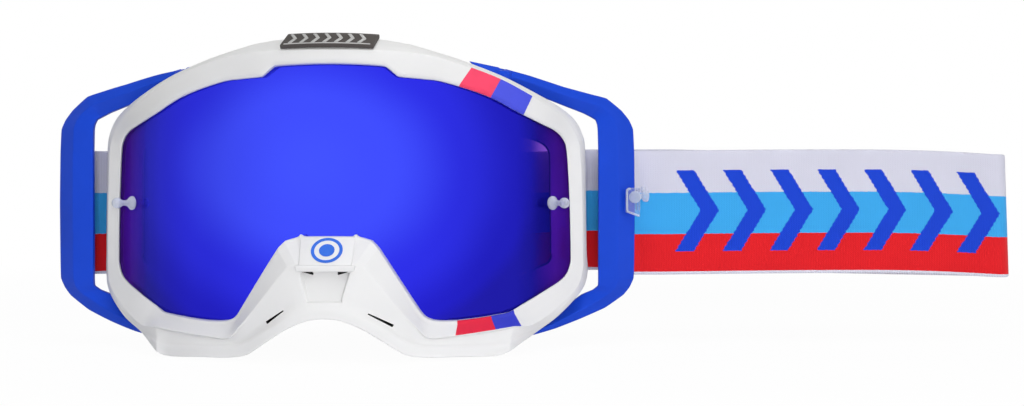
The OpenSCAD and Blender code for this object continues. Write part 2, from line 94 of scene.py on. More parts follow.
HINGE_OUT, BAR_BACK = 2.2, 18.0
HINGE_Y = float(face_y(HINGE_X, FRAME_REAR)) - HINGE_OUT
BAR_Y = HINGE_Y + BAR_BACK

# Half outline of the frame, brow to nose. Each row: lip x z and its reach before the lens, crease x z reach,
# outer edge x z reach, rear edge x z. The crease's and the edge's reaches are shares of BROW in the first
# BROW_ROWS rows and of CHEEK in the others.
RIM = np.array([
    [0, 45.3, 3.6, 0, 49.6, 0.88, 0, 54.6, -0.3, 0, 50.5],
    [10, 45.1, 3.6, 10, 49.6, 0.88, 10, 54.4, -0.3, 10, 50.3],
    [18, 44.6, 3.2, 19, 49.5, 0.82, 19, 53.6, -0.2, 19, 49.6],
    [22.3, 41.4, 2.3, 27, 49, 0.75, 26, 52.4, -0.1, 27, 48.4],
    [30, 40.8, 1.6, 34.5, 48, 0.65, 34, 50.2, 0, 34, 46.8],
    [37, 40, 1.6, 41.5, 46.3, 0.6, 42, 48, 0, 41, 45],
    [51, 36, 1.6, 54.5, 42.2, 0.55, 55.5, 43.5, 0, 54.5, 39.6],
    [62, 30.8, 1.6, 65, 37.4, 0.5, 66, 39, 0, 65, 35],
    [70, 27.3, 1.6, 74, 32.6, 0.5, 76, 34.2, 0, 74.5, 31.4],
    [74.5, 25.3, 1.6, 79.2, 28.9, 0.5, 81.8, 30, 0.3, 79.8, 27.6],
    [77.6, 22.3, 1.6, 82.4, 23.8, 0.75, 84.8, 25, 0.6, 82.8, 23.4],
    [78.9, 17.5, 1.6, 83.8, 18.2, 0.95, 86, 19, 0.7, 84, 18],
    [79.9, 1, 1.6, 84.6, 1, 0.45, 86.2, 1, 0.35, 84.3, 1],
    [80.3, -17, 1.6, 84.8, -17, 0.45, 86.5, -17, 0.35, 84.5, -17],
    [80, -22, 1.6, 84.8, -23.6, 0.45, 87, -25, 0.3, 84, -23],
    [77.5, -26.5, 1.6, 82.5, -30, 0.5, 84.6, -31.2, 0.4, 81.5, -28],
    [70, -31, 1.6, 74.5, -37, 0.5, 76, -39.2, 0.45, 74, -33],
    [62.5, -35, 1.6, 66.5, -41.4, 0.6, 68, -44.6, 0.3, 66.5, -37.2],
    [58.5, -37.1, 2.8, 60.2, -41.4, 0.7, 58.8, -49.4, 0.95, 60, -39.6],
    [50, -38.2, 4, 51.5, -42.4, 0.72, 54, -50.8, 0.85, 53, -41],
    [41, -38.9, 4.5, 40.5, -43.4, 0.75, 42, -50.3, 0.9, 42, -42],
    [34.2, -38.6, 4.8, 32.6, -43.6, 0.8, 31, -49.9, 0.95, 31, -41.6],
    [30.8, -37, 5.2, 28.8, -40.2, 0.85, 25, -48.6, 1, 24, -39.5],
    [28.3, -33.6, 6, 24.6, -35.6, 0.88, 18.5, -44.4, 1.1, 19, -35.5],
    [21.3, -22.6, 6.6, 16.6, -25.6, 0.9, 12.5, -40.6, 1.15, 14.5, -29],
    [16.2, -14.6, 6.2, 12.2, -20.4, 0.9, 8, -38.5, 1.15, 10, -24],
    [13.9, -12.2, 5, 9.6, -19.4, 0.9, 5, -37.5, 1.15, 6, -21.4],
    [9.4, -10.9, 3.6, 5.5, -19.6, 0.9, 2.5, -37.1, 1.15, 3, -20.3],
    [0, -10.8, 3.6, 0, -19.7, 0.9, 0, -37, 1.15, 0, -20]], float)
# Second crease of the lobes and the arch, from row 17 on: x z, how far it stands proud, depth of the hollow
# above it and of the step under the first crease
RIDGE = np.array([
    [67.2, -43.4, 0.1, 0.2, 0.1], [58.9, -46.6, 0.2, 0.6, 0.6], [54.2, -47.5, 0.3, 0.9, 1.1],
    [42.2, -47.0, 0.3, 0.8, 1.1], [31.0, -46.2, 0.3, 0.7, 1.0], [25.3, -44.6, 0.3, 1.5, 0.5],
    [19.8, -41.2, 0.3, 1.9, 0.2], [13.2, -37.4, 0.3, 1.5, 0.1], [8.6, -35.3, 0.2, 0.8, 0.1],
    [5.3, -34.4, 0.2, 0.6, 0], [2.6, -34.1, 0.2, 0.6, 0], [0, -34.0, 0.2, 0.6, 0]])
RIDGE_FROM = 17
LAST = len(RIM) - 1
# How softly the outline turns at a row: 1 is a free curve, less is a tighter corner
SOFTNESS = np.ones(LAST + 1)
SOFTNESS[[2, 3]] = 0.35
SOFTNESS[[25, 26, 27]] = 0.2
SOFTNESS[[17, 22, 23]] = 0.7
SOFTNESS[18] = 0.35


# The lines between crease and edge: shares of the way, how full the plain side is, then the lobes' own shares
STEP_SHARE, HOLLOW_SHARE, RIDGE_SHARE, SIDE_FULL = 0.08, 0.33, 0.68, [0, 0, 0.3]
LOBE_STEP, LOBE_HOLLOW = 0.07, 0.8


def rim_table():
    """The rows with two more lines between crease and edge, and reaches in millimetres."""
    rows = []
    for i, r in enumerate(RIM):
        share = BROW if i < BROW_ROWS else CHEEK
        crease = np.array([r[3], r[4], r[5] * share])
        edge = np.array([r[6], r[7], r[8] * share])
        if i < RIDGE_FROM:
            hollow = crease + (edge - crease) * HOLLOW_SHARE + SIDE_FULL
            ridge = crease + (edge - crease) * RIDGE_SHARE + SIDE_FULL
            step = crease + (edge - crease) * STEP_SHARE
            hard = 0.0
        else:
            x, z, proud, depth, drop = RIDGE[i - RIDGE_FROM]
            t = abs(z - crease[1]) / max(abs(edge[1] - crease[1]), 1e-6)
            ridge = np.array([x, z, crease[2] + (edge[2] - crease[2]) * t + proud])
            hollow = crease + (ridge - crease) * LOBE_HOLLOW - [0, 0, depth]
            step = crease + (ridge - crease) * LOBE_STEP - [0, 0, drop]
            hard = 1.0
        rows.append([r[0], r[1], r[2], *crease, *step, *hollow, *ridge, *edge, r[9], r[10], hard])
    return np.array(rows)


TABLE = rim_table()
X_COLUMNS = [0, 3, 6, 9, 12, 15, 18]
COLUMNS = {"lip": slice(0, 2), "reach": 2, "crease": slice(3, 6), "step": slice(6, 9), "hollow": slice(9, 12),
           "ridge": slice(12, 15), "edge": slice(15, 18), "rear": slice(18, 20), "hard": 20}


def spline(rows, slopes, u):
    """Rows at places u of a table, on a smooth curve with the given slope at each of its rows."""
    i = np.minimum(np.floor(u).astype(int), len(rows) - 2)
    t = (u - i)[:, None]
    return (rows[i] * (2 * t ** 3 - 3 * t ** 2 + 1) + slopes[i] * (t ** 3 - 2 * t ** 2 + t)
            + rows[i + 1] * (3 * t ** 2 - 2 * t ** 3) + slopes[i + 1] * (t ** 3 - t ** 2))


def ease(t):
    """A share that starts and stops gently."""
    return 3 * t * t - 2 * t ** 3


def rim(u):
    """Rows at places u from 0, the brow's middle, to LAST, the nose's, with negative u on the other side."""
    u = np.atleast_1d(np.asarray(u, float))
    flip = np.ones(TABLE.shape[1])
    flip[X_COLUMNS] = -1
    padded = np.vstack([TABLE[1] * flip, TABLE, TABLE[LAST - 1] * flip])
    slopes = (padded[2:] - padded[:-2]) / 2 * SOFTNESS[:, None]
    rows = spline(TABLE, slopes, np.abs(u))
    rows[:, X_COLUMNS] *= np.where(u < 0, -1.0, 1.0)[:, None]
    return rows


def parts_at(u):
    """The outline's parts at places u, as x z or x z reach arrays, and its outward direction."""
    rows = rim(u)
    parts = {name: rows[:, columns] for name, columns in COLUMNS.items()}
    out = parts["edge"][:, :2] - parts["lip"]
    parts["out"] = out / np.linalg.norm(out, axis=1)[:, None]
    return parts


def on_lens(p, forward):
    """Points with x and z of p, before the lens's front."""
    return np.stack([p[:, 0], lens_y(p[:, 0]) - forward, p[:, 1]], 1)


def in_lens(p, deep):
    """Points with x and z of p, behind the lens's front."""
    return np.stack([p[:, 0], lens_y(p[:, 0], deep), p[:, 1]], 1)


def on_face(p, depth):
    """Points with x and z of p, before the face."""
    return np.stack([p[:, 0], face_y(p[:, 0], depth), p[:, 1]], 1)


def round_section(corners, radii, cuts, k=3):
    """Closed section per ring with rounded corners.
    corners is rings x n x 3, radii rings x n, cuts[i] the shares along the side from corner i to the next."""
    n = corners.shape[1]
    arcs = []
    for i in range(n):
        b = corners[:, i]
        to_a, to_c = corners[:, i - 1] - b, corners[:, (i + 1) % n] - b
        la = np.linalg.norm(to_a, axis=1)[:, None] + 1e-9
        lc = np.linalg.norm(to_c, axis=1)[:, None] + 1e-9
        t = np.minimum(radii[:, i:i + 1], 0.42 * np.minimum(la, lc))
        p0, p1 = b + to_a / la * t, b + to_c / lc * t
        arcs.append([(1 - s) ** 2 * p0 + 2 * s * (1 - s) * b + s * s * p1 for s in np.linspace(0, 1, k + 1)])
    out = []
    for i in range(n):
        p, q = arcs[i][-1], arcs[(i + 1) % n][0]
        out += arcs[i] + [p + (q - p) * s for s in cuts[i]]
    return np.stack(out, 1)


# Mesh helpers


def linked(name, data):
    """A new object in the scene."""
    obj = bpy.data.objects.new(name, data)
    scene.collection.objects.link(obj)
    return obj


def edit_mesh(mesh, change):
    """Runs change on the mesh as a bmesh and writes it back."""
    bm = bmesh.new()
    bm.from_mesh(mesh)
    change(bm)
    bm.to_mesh(mesh)
    bm.free()


def shade(mesh, angle=38.0):
    """Smooth faces, with sharp edges where they meet at more than the angle (degrees)."""
    mesh.polygons.foreach_set("use_smooth", [True] * len(mesh.polygons))
    mesh.set_sharp_from_angle(angle=math.radians(angle))


def turn_out(bm):
    """Joins doubled points and makes the faces look outward."""
    bmesh.ops.remove_doubles(bm, verts=bm.verts, dist=2e-6)
    bmesh.ops.recalc_face_normals(bm, faces=bm.faces)


def solid(name, verts, faces, angle=38.0):
    """A closed mesh object from points in millimetres."""
    mesh = bpy.data.meshes.new(name)
    mesh.from_pydata((np.asarray(verts, float) * MM).tolist(), [], [list(map(int, f)) for f in faces])
    mesh.validate()
    mesh.update()
    edit_mesh(mesh, turn_out)
    shade(mesh, angle)
    return linked(name, mesh)


def round_edges(obj, width, segments=3, beyond=-1.0, clamp=False, angle=38.0):
    """Bevels the edges whose faces meet at more than the angle beyond (radians)."""
    def bevel(bm):
        edges = [e for e in bm.edges if e.calc_face_angle(0) > beyond]
        bmesh.ops.bevel(bm, geom=edges, offset=width * MM, segments=segments, profile=0.5, affect="EDGES",
                        clamp_overlap=clamp)
    edit_mesh(obj.data, bevel)
    shade(obj.data, angle)
    return obj


def quads(m, n, around_m=False, around_n=False):
    """Faces of an m by n grid of points, which may close on itself either way."""
    faces = []
    for a in range(m if around_m else m - 1):
        for b in range(n if around_n else n - 1):
            c, d = (a + 1) % m, (b + 1) % n
            faces.append((a * n + b, a * n + d, c * n + d, c * n + b))
    return faces


def loft(name, rings, closed_run, angle=38.0):
    """rings: n x m x 3. The section is closed; the run is closed or gets two flat ends."""
    rings = np.asarray(rings, float)
    n, m = rings.shape[:2]
    faces = quads(n, m, closed_run, True)
    if not closed_run:
        faces += [tuple(range(m)), tuple(range((n - 1) * m, n * m))]
    return solid(name, rings.reshape(-1, 3), faces, angle)


def slab(name, top, low, angle=38.0):
    """A thin solid between two m by n grids of points."""
    m, n = top.shape[:2]
    under = m * n
    faces = quads(m, n)
    faces += [tuple(under + v for v in face[::-1]) for face in faces]
    ring = [*range(n)] + [a * n + n - 1 for a in range(1, m)]
    ring += [(m - 1) * n + b for b in range(n - 2, -1, -1)] + [a * n for a in range(m - 2, 0, -1)]
    faces += [(p, q, under + q, under + p) for p, q in zip(ring, ring[1:] + ring[:1])]
    return solid(name, np.vstack([top.reshape(-1, 3), low.reshape(-1, 3)]), faces, angle)


def between(name, front, back, bevel=0.0):
    """A solid between two outlines with the same number of points (mm)."""
    n = len(front)
    faces = [tuple(range(n)), tuple(range(n, 2 * n))]
    faces += [(i, (i + 1) % n, n + (i + 1) % n, n + i) for i in range(n)]
    obj = solid(name, np.vstack([front, back]), faces)
    return round_edges(obj, bevel) if bevel else obj


def prism(name, outline, direction, bevel=0.0):
    """A solid from a closed outline of 3D points (mm), carried along direction (mm vector)."""
    outline = np.asarray(outline, float)
    return between(name, outline, outline + direction, bevel)


def block(name, low, high, bevel=0.0):
    """A box between two corners (mm)."""
    (x0, y0, z0), (x1, y1, z1) = low, high
    return prism(name, [(x0, y0, z0), (x1, y0, z0), (x1, y1, z0), (x0, y1, z0)], (0, 0, z1 - z0), bevel)


def lathe(name, profile, origin, axis, steps=48):
    """A turned solid: profile is (radius, along) in mm, from axis point to axis point."""
    z = Vector(axis).normalized()
    x = z.orthogonal().normalized()
    x, y, z = np.array(x), np.array(z.cross(x)), np.array(z)
    turns = [x * math.cos(a) + y * math.sin(a) for a in np.linspace(0, 2 * math.pi, steps, endpoint=False)]
    rings = [[np.array(origin) + z * along + turn * max(r, 1e-3) for turn in turns] for r, along in profile]
    return loft(name, rings, False)


def rod_profile(r, tall, edge):
    """A turned rod's profile with a small chamfer at both ends."""
    return [(0, 0), (r - edge, 0), (r, edge), (r, tall - edge), (r - edge, tall), (0, tall)]


def boolean(obj, tool, operation, angle=38.0):
    """Adds or cuts away the tool, whose material, if it has one, stays on the faces that it leaves."""
    mod = obj.modifiers.new("cut", "BOOLEAN")
    mod.operation, mod.object, mod.solver = operation, tool, "MANIFOLD"
    if tool.data.materials:
        mod.material_mode = "TRANSFER"
    old = obj.data
    obj.data = bpy.data.meshes.new_from_object(obj.evaluated_get(bpy.context.evaluated_depsgraph_get()))
    obj.modifiers.clear()
    bpy.data.meshes.remove(old)
    bpy.data.objects.remove(tool)
    shade(obj.data, angle)
    return obj


def join(name, objs):
    """One mesh object from several."""
    bm = bmesh.new()
    for o in objs:
        bm.from_mesh(o.data)
        bpy.data.objects.remove(o)
    mesh = bpy.data.meshes.new(name)
    bm.to_mesh(mesh)
    bm.free()
    shade(mesh)
    return linked(name, mesh)


# Materials


class Value:
    """A socket of a node tree. Arithmetic on it makes Math nodes."""

    def __init__(self, tree, socket):
        self.tree, self.socket = tree, socket

    def math(self, operation, *others):
        return self.tree.value("Math", dict(enumerate((self, *others))), operation=operation)

    def __add__(self, other):
        return self.math("ADD", other)

    def __sub__(self, other):
        return self.math("SUBTRACT", other)

    def __mul__(self, other):
        return self.math("MULTIPLY", other)

    def over(self, level):
        return self.math("GREATER_THAN", level)

    def under(self, level):
        return self.math("LESS_THAN", level)


def put(socket, value):
    """Links a value's or node's output into a socket, or sets a number or a colour of three numbers there."""
    if isinstance(value, bpy.types.Node):
        value = value.outputs[0]
    value = getattr(value, "socket", value)
    if isinstance(value, bpy.types.NodeSocket):
        socket.id_data.links.new(value, socket)
    else:
        socket.default_value = rgba(value) if isinstance(value, tuple) else value


def fill(shader, inputs):
    """Puts a value into each named input of a node."""
    for key, value in inputs.items():
        put(shader.inputs[key], value)


def rgba(colour):
    """A colour with its alpha, from three numbers, or a grey from one."""
    return (*(colour if isinstance(colour, tuple) else (colour,) * 3), 1.0)


def tone(colour, share):
    """A darker or lighter shade of a colour."""
    return tuple(min(1.0, x * share) for x in colour)


class Tree:
    """The nodes of a material or of the world, with a short call for each kind."""

    def __init__(self, owner, output):
        owner.use_nodes = True
        self.nodes = owner.node_tree.nodes
        self.nodes.clear()
        self.surface = self.nodes.new(output).inputs["Surface"]

    def node(self, kind, inputs=None, **props):
        n = self.nodes.new("ShaderNode" + kind)
        for key, value in props.items():
            setattr(n, key, value)
        fill(n, inputs or {})
        return n

    def value(self, kind, inputs=None, output=0, **props):
        return Value(self, self.node(kind, inputs, **props).outputs[output])

    def split(self, vector):
        return [Value(self, part) for part in self.node("SeparateXYZ", {0: vector}).outputs]

    def ramp(self, fac, stops, interpolation="LINEAR"):
        """A colour by place. Stops are pairs of place and colour, or grey."""
        n = self.node("ValToRGB", {"Fac": fac})
        n.color_ramp.interpolation = interpolation
        while len(n.color_ramp.elements) < len(stops):
            n.color_ramp.elements.new(0.5)
        for element, (place, colour) in zip(n.color_ramp.elements, stops):
            element.position, element.color = place, rgba(colour)
        return Value(self, n.outputs["Color"])

    def mix(self, fac, a, b, blend="MIX"):
        n = self.node("Mix", data_type="RGBA", blend_type=blend)
        fill(n, {"Factor": fac, "A": a, "B": b})
        return Value(self, n.outputs["Result"])

    def blend(self, fac, a, b):
        """Two shaders mixed; fac is the second one's share."""
        return self.node("MixShader", {0: fac, 1: a, 2: b})

    def noise(self, scale, detail, vector=None):
        inputs = {"Vector": vector or self.place, "Scale": scale, "Detail": detail}
        return self.value("TexNoise", inputs, "Fac")

    def bump(self, height, strength, distance):
        return self.value("Bump", {"Height": height, "Strength": strength, "Distance": distance})

    def rays(self, *kinds):
        """A value that is 1 for rays of the given kinds."""
        path = self.node("LightPath")
        seen = Value(self, path.outputs["Is %s Ray" % kinds[0]])
        for kind in kinds[1:]:
            seen = seen.math("MAXIMUM", path.outputs["Is %s Ray" % kind])
        return seen


def new_material(name):
    """A material, its nodes and its main shader. Textures lie in the object's own coordinates."""
    m = bpy.data.materials.new(name)
    tree = Tree(m, "ShaderNodeOutputMaterial")
    tree.place = tree.value("TexCoord", output="Object")
    shader = tree.node("BsdfPrincipled")
    put(tree.surface, shader)
    return m, tree, shader


def moulded(name, colour, rough=0.42, grain=0.06, blotch=0.03, lighter_edges_shaded_hollows=0.06, specular=0.5, metallic=0.0):
    """Moulded plastic: faint blotches, a spark-eroded grain, lighter sharp edges and painted shade in the
    hollows.
    """
    m, tree, p = new_material(name)
    stops = [(0.35, tone(colour, 1 - blotch)), (0.65, tone(colour, 1 + blotch))]
    base = tree.ramp(tree.noise(38.0, 4.0), stops)
    # By pointiness the colour darkens in hollows, as painted shade, and lightens on sharp edges.
    point = tree.value("NewGeometry", output="Pointiness")
    edge = tree.ramp(point, [(0.47, 1 - lighter_edges_shaded_hollows), (0.5, 1.0), (0.56, 1 + lighter_edges_shaded_hollows * 0.6)])
    fill(p, {"Base Color": tree.mix(1.0, base, edge, "MULTIPLY"),
             "Roughness": tree.noise(260.0, 3.0) * 0.16 + (rough - 0.08),
             "Normal": tree.bump(tree.noise(3800.0, 2.0), grain, 0.00012),
             "Specular IOR Level": specular, "Metallic": metallic})
    return m


def printed(name, colour):
    """Film print: satin, with a barely visible screen texture."""
    m, tree, p = new_material(name)
    stops = [(0.3, tone(colour, 0.95)), (0.7, tone(colour, 1.04))]
    fill(p, {"Base Color": tree.ramp(tree.noise(160.0, 3.0), stops), "Roughness": 0.36,
             "Normal": tree.bump(tree.noise(3200.0, 2.0), 0.05, 0.0001)})
    return m


def clear_plastic(name, tint, alpha, rim=0.5):
    """Clear plastic seen as a pale thin shell, opaque by alpha head-on and by alpha + rim at its edges."""
    m, tree, p = new_material(name)
    fill(p, {"Base Color": tree.ramp(tree.noise(700.0, 2.0), [(0.3, tone(tint, 0.92)), (0.7, tint)]),
             "Roughness": 0.12, "Specular IOR Level": 0.7})
    facing = tree.value("LayerWeight", {"Blend": 0.35}, "Facing")
    see = tree.node("BsdfTransparent", {"Color": (0.93, 0.95, 0.99)})
    put(tree.surface, tree.blend(facing * rim + alpha, see, p))
    return m


def foam(name, colour, pore, depth, fuzz=0.0):
    """Open-cell foam: pores (mm across) from cells, softened by noise."""
    m, tree, p = new_material(name)
    cells = tree.value("TexVoronoi", {"Vector": tree.place, "Scale": 1000.0 / pore}, "Distance")
    height = cells * 0.8 + tree.noise(420.0, 4.0) * 0.5
    # The colour follows the pores' depth, darker in them as painted shade, with random tone from the noise.
    light = height * 0.6 + tree.noise(45.0, 3.0) * 0.4
    fill(p, {"Base Color": tree.ramp(light, [(0.25, tone(colour, 0.6)), (0.75, tone(colour, 1.35))]),
             "Roughness": 0.95, "Specular IOR Level": 0.15, "Sheen Weight": fuzz, "Sheen Roughness": 0.5,
             "Normal": tree.bump(height, 0.7, depth)})
    return m


WHITE_WEB, SKY_WEB, RED_WEB = (0.66, 0.66, 0.77), (0.045, 0.39, 0.83), (0.76, 0.012, 0.018)
SELVAGE_WEB, ROYAL = (0.72, 0.73, 0.84), (0.008, 0.055, 0.62)
UV_RUN = "run"
STRIPES = (-7.9, 7.2)
PICK, END, RIB_STEP, PICK_STEP, SELVAGE = 0.5, 0.55, 0.78, 0.92, 1.1
CHEVRON_MID, CHEVRON_TALL, CHEVRON_LEAN = 0.4, 30.0, 0.62
CHEVRON_FROM, CHEVRON_STEP, CHEVRON_W, CHEVRONS = 25.0, 17.4, 6.8, 7


def woven_chevrons(s, t):
    """Where plain chevrons in blue thread lie, as woven trim."""
    off = (t - CHEVRON_MID).math("ABSOLUTE")
    along = s + off * CHEVRON_LEAN
    stroke = (along - CHEVRON_FROM).math("MODULO", CHEVRON_STEP).under(CHEVRON_W)
    inside = along.over(CHEVRON_FROM) * along.under(CHEVRON_FROM + CHEVRON_STEP * CHEVRONS)
    return stroke * off.under(CHEVRON_TALL / 2) * inside


def webbing(name, chevrons=False):
    """Elastic webbing woven in three stripes, s along it and t across it in millimetres."""
    m, tree, p = new_material(name)
    s, t, _ = tree.split(tree.value("UVMap", output="UV", uv_map=UV_RUN))
    s, t = s * 1000.0, t * 100.0
    flat = tree.value("CombineXYZ", {0: s, 1: t})
    frayed = t + (tree.noise(0.9, 2.0, flat) - 0.5) * 0.5
    picks, ends = s.math("SNAP", PICK), frayed.math("SNAP", END)
    colour = tree.mix(frayed.over(STRIPES[0]), RED_WEB, SKY_WEB)
    colour = tree.mix(frayed.over(STRIPES[1]), colour, WHITE_WEB)
    if chevrons:
        colour = tree.mix(woven_chevrons(picks, ends), colour, ROYAL)
    colour = tree.mix(t.under(-STRAP_W / 2 + SELVAGE), colour, SELVAGE_WEB)
    # Ribs along the strap and picks across it
    warp = (t * (2 * math.pi / RIB_STEP)).math("SINE")
    weft = (s * (2 * math.pi / PICK_STEP)).math("SINE")
    cloth = warp * weft * 0.5 + weft * 0.3
    height = cloth + tree.noise(3.5, 3.0, flat) * 0.9
    # The weave's height darkens the colour where the threads lie low, as painted shade, and a slow noise adds
    # random tone.
    level = (height * 0.16 + 0.91) * (tree.noise(0.06, 3.0, flat) * 0.12 + 0.94)
    grey = tree.value("CombineColor", {0: level, 1: level, 2: level})
    fill(p, {"Base Color": tree.mix(1.0, colour, grey, "MULTIPLY"), "Roughness": 0.78,
             "Specular IOR Level": 0.25, "Sheen Weight": 0.12, "Sheen Roughness": 0.45,
             "Normal": tree.bump(height, 0.35, 0.00012)})
    return m


# The bright middle of the reflection painted into the lens's colour, and how wide and tall its fall-off is,
# in millimetres
REFLECTION_X, REFLECTION_Z, REFLECTION_W, REFLECTION_TALL = -7.0, 12.0, 80.0, 62.0


def mirror_lens():
    """A blue mirror coating over a purple tint: the middle mirrors, the wrapped sides let the inside show.
    The colour's bright middle is a painted reflection.
    """
    m, tree, p = new_material("mirror_lens")
    x, _, z = tree.split(tree.place)
    dx = (x * 1000.0 - REFLECTION_X) * (1 / REFLECTION_W)
    dz = (z * 1000.0 - REFLECTION_Z) * (1 / REFLECTION_TALL)
    far = (dx * dx + dz * dz).math("SQRT") + (tree.noise(22.0, 2.0) - 0.5) * 0.10
    # Painted reflection: bright blue in the middle, darker and deeper towards the sides.
    blues = [(0.0, (0.050, 0.080, 1.0)), (0.34, (0.046, 0.070, 0.98)), (0.66, (0.022, 0.024, 0.80)),
             (0.9, (0.013, 0.011, 0.60)), (1.0, (0.012, 0.009, 0.46))]
    fill(p, {"Base Color": tree.ramp(far, blues, "EASE"), "Metallic": 1.0, "Roughness": 0.055,
             "Coat Weight": 0.12, "Coat Roughness": 0.03,
             "Normal": tree.bump(tree.noise(9.0, 2.0), 0.10, 0.0006)})
    see = tree.node("BsdfTransparent", {"Color": (0.66, 0.38, 0.92)})
    coated = tree.ramp(x.math("ABSOLUTE") * 10.0, [(0.61, 0.985), (0.66, 0.80), (0.69, 0.46), (0.75, 0.14)])
    put(tree.surface, tree.blend(coated, see, p))
    return m


mat_white = moulded("frame_white", (0.78, 0.78, 0.775), rough=0.40, grain=0.05, blotch=0.012, lighter_edges_shaded_hollows=0.05)
mat_rear = moulded("rear_white", (0.74, 0.74, 0.76), rough=0.45, grain=0.06)
mat_blue = moulded("outrigger_blue", (0.007, 0.060, 0.60), grain=0.10, blotch=0.05, lighter_edges_shaded_hollows=0.10, specular=0.2)
mat_rubber = moulded("plaque_rubber", (0.055, 0.048, 0.044), rough=0.62, grain=0.25, blotch=0.10, lighter_edges_shaded_hollows=0.25)
mat_pale = moulded("plaque_lines", (0.50, 0.50, 0.49), rough=0.5, grain=0.15, blotch=0.08)
mat_black = moulded("adjuster_black", (0.018, 0.018, 0.02), rough=0.35, grain=0.12, blotch=0.10, lighter_edges_shaded_hollows=0.3)
mat_pin = moulded("pin_steel", (0.55, 0.55, 0.57), rough=0.25, grain=0.03, metallic=1.0)
mat_thread = moulded("thread", (0.72, 0.72, 0.80), rough=0.7, grain=0.3)
# Near-black walls for the nose's slots and slits: painted shade inside the openings.
mat_painted_slot_shade = moulded("slot_shadow", (0.008, 0.008, 0.008), rough=0.9)
mat_badge = printed("badge_blue", (0.016, 0.14, 0.70))
mat_red_up = printed("print_red", (0.91, 0.045, 0.125))
# The cheek prints take darker copies of the brow prints' red and blue: painted shade.
mat_red_shaded = printed("print_red_low", (0.75, 0.010, 0.045))
mat_print_blue = printed("print_blue", (0.052, 0.072, 0.72))
mat_print_blue_shaded = printed("print_blue_low", (0.030, 0.040, 0.55))
mat_clear = clear_plastic("clear_plastic", (0.78, 0.82, 0.92), 0.40, 0.75)
mat_tab = clear_plastic("clear_tab", (0.85, 0.92, 1.0), 0.10, 0.95)
mat_silicone = clear_plastic("silicone", (0.82, 0.84, 0.90), 0.62)
mat_foam = foam("foam_grey", (0.085, 0.085, 0.095), 0.9, 0.0004)
mat_foam_mid = foam("foam_dark", (0.14, 0.14, 0.16), 0.7, 0.0003)
mat_fleece = foam("fleece", (0.045, 0.045, 0.052), 0.35, 0.0002, fuzz=0.5)
mat_filter = foam("filter_foam", (0.06, 0.06, 0.065), 1.3, 0.0006)
mat_strap = webbing("webbing", chevrons=True)
mat_loop = webbing("webbing_plain")


def wear(obj, material):
    """Gives a piece its one material."""
    obj.data.materials.clear()
    obj.data.materials.append(material)
    return obj


def dress(obj, material, body, node_name=None):
    """Gives a piece its material and the body it moves with, and hides the imported node that it stands for.
    """
    wear(obj, material)
    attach(obj, body)
    if node_name:
        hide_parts(node_name)
    return obj


# Front frame


def frame_corners(u):
    """The shell's section at places u, from the lip over the front to the channel, and how crisp it is."""
    p = parts_at(u)
    lip, out, rear = p["lip"], p["out"], p["rear"]
    floor, back = lip + out * (LENS_EDGE + LENS_GAP), lip + out * 0.6
    corners = [on_lens(lip, p["reach"]), on_lens(lip + out * 1.2, p["reach"] + 0.8)]
    for name in ("crease", "step", "hollow", "ridge", "edge"):
        corners.append(on_lens(p[name][:, :2], p[name][:, 2]))
    corners += [on_face(rear, FRAME_REAR + 0.1), on_face(rear - out * WALL, FRAME_REAR + 0.1)]
    corners += [in_lens(back, LENS_T + LENS_GAP + BACK_LIP_T), in_lens(back, LENS_T + LENS_GAP)]
    corners += [in_lens(floor, LENS_T + LENS_GAP), on_lens(floor, LENS_GAP), on_lens(lip, LENS_GAP)]
    return np.stack(corners, 1), p["hard"]


SOFT_RADII = np.array([0.45, 0.6, 1.0, 0.5, 6.0, 6.0, 1.6, 0.4, 0.4, 0.5, 0.2, 0.1, 0.1, 0.2])
CRISP_RADII = np.array([0.45, 0.5, 0.5, 0.5, 1.6, 0.55, 0.8, 0.4, 0.4, 0.5, 0.2, 0.1, 0.1, 0.2])
LONG_SIDE = np.concatenate([np.linspace(0.02, 0.34, 12), np.linspace(0.42, 0.94, 9)])
FRAME_CUTS = [[0.5], [0.2, 0.4, 0.6, 0.8], [], LONG_SIDE, [0.33, 0.66], [0.25, 0.5, 0.75],
              [0.1, 0.25, 0.5, 0.75, 0.9], [0.5], [0.2, 0.4, 0.6, 0.8], [0.5], [], [], [], []]


def frame_rings(u):
    """The shell's rings of points at places u, with the section's corners rounded."""
    corners, hard = frame_corners(u)
    crisp = np.clip(hard, 0, 1)[:, None]
    return round_section(corners, SOFT_RADII * (1 - crisp) + CRISP_RADII * crisp, FRAME_CUTS)


def rim_places():
    """Places round the half outline, closer together at the nose and the corners."""
    us = []
    for i in range(LAST):
        steps = 16 if i >= 22 else 12 if i in (2, 3, 17, 18) else 9
        us += list(i + np.arange(steps) / steps)
    return np.array(us + [LAST])


half_u = rim_places()
full_u = np.concatenate([half_u, -half_u[-2:0:-1]])


# The badge panel's raised corners: their places, their width and height, and how far they rise and stand out
CORNER_X, CORNER_Z, CORNER_W, CORNER_TALL, CORNER_RISE, CORNER_OUT = 8.9, -11.0, 0.75, 1.3, 0.75, 0.35


def nose_sculpt(rings):
    """The badge panel's raised corners on the lip."""
    p = rings.reshape(-1, 3)
    front = (p[:, 1] < lens_y(np.clip(p[:, 0], -100, 100)) - 1.0) & (p[:, 2] < -8) & (np.abs(p[:, 0]) < 20)
    for x in (-CORNER_X, CORNER_X):
        near_x, near_z = (p[:, 0] - x) / CORNER_W, (p[:, 2] - CORNER_Z) / CORNER_TALL
        w = np.exp(-near_x ** 2) * np.exp(-near_z ** 2) * front
        p[:, 2] += CORNER_RISE * w
        p[:, 1] -= CORNER_OUT * w
    return p.reshape(rings.shape)


# The nose's mid-plane, as z and depth: the panel's top, the crease under it and the face's lower edge
NOSE_TOP, NOSE_CREASE, NOSE_LOW = (-12.2, -65.4), (-19.7, -71.8), (-34.0, -75.0)


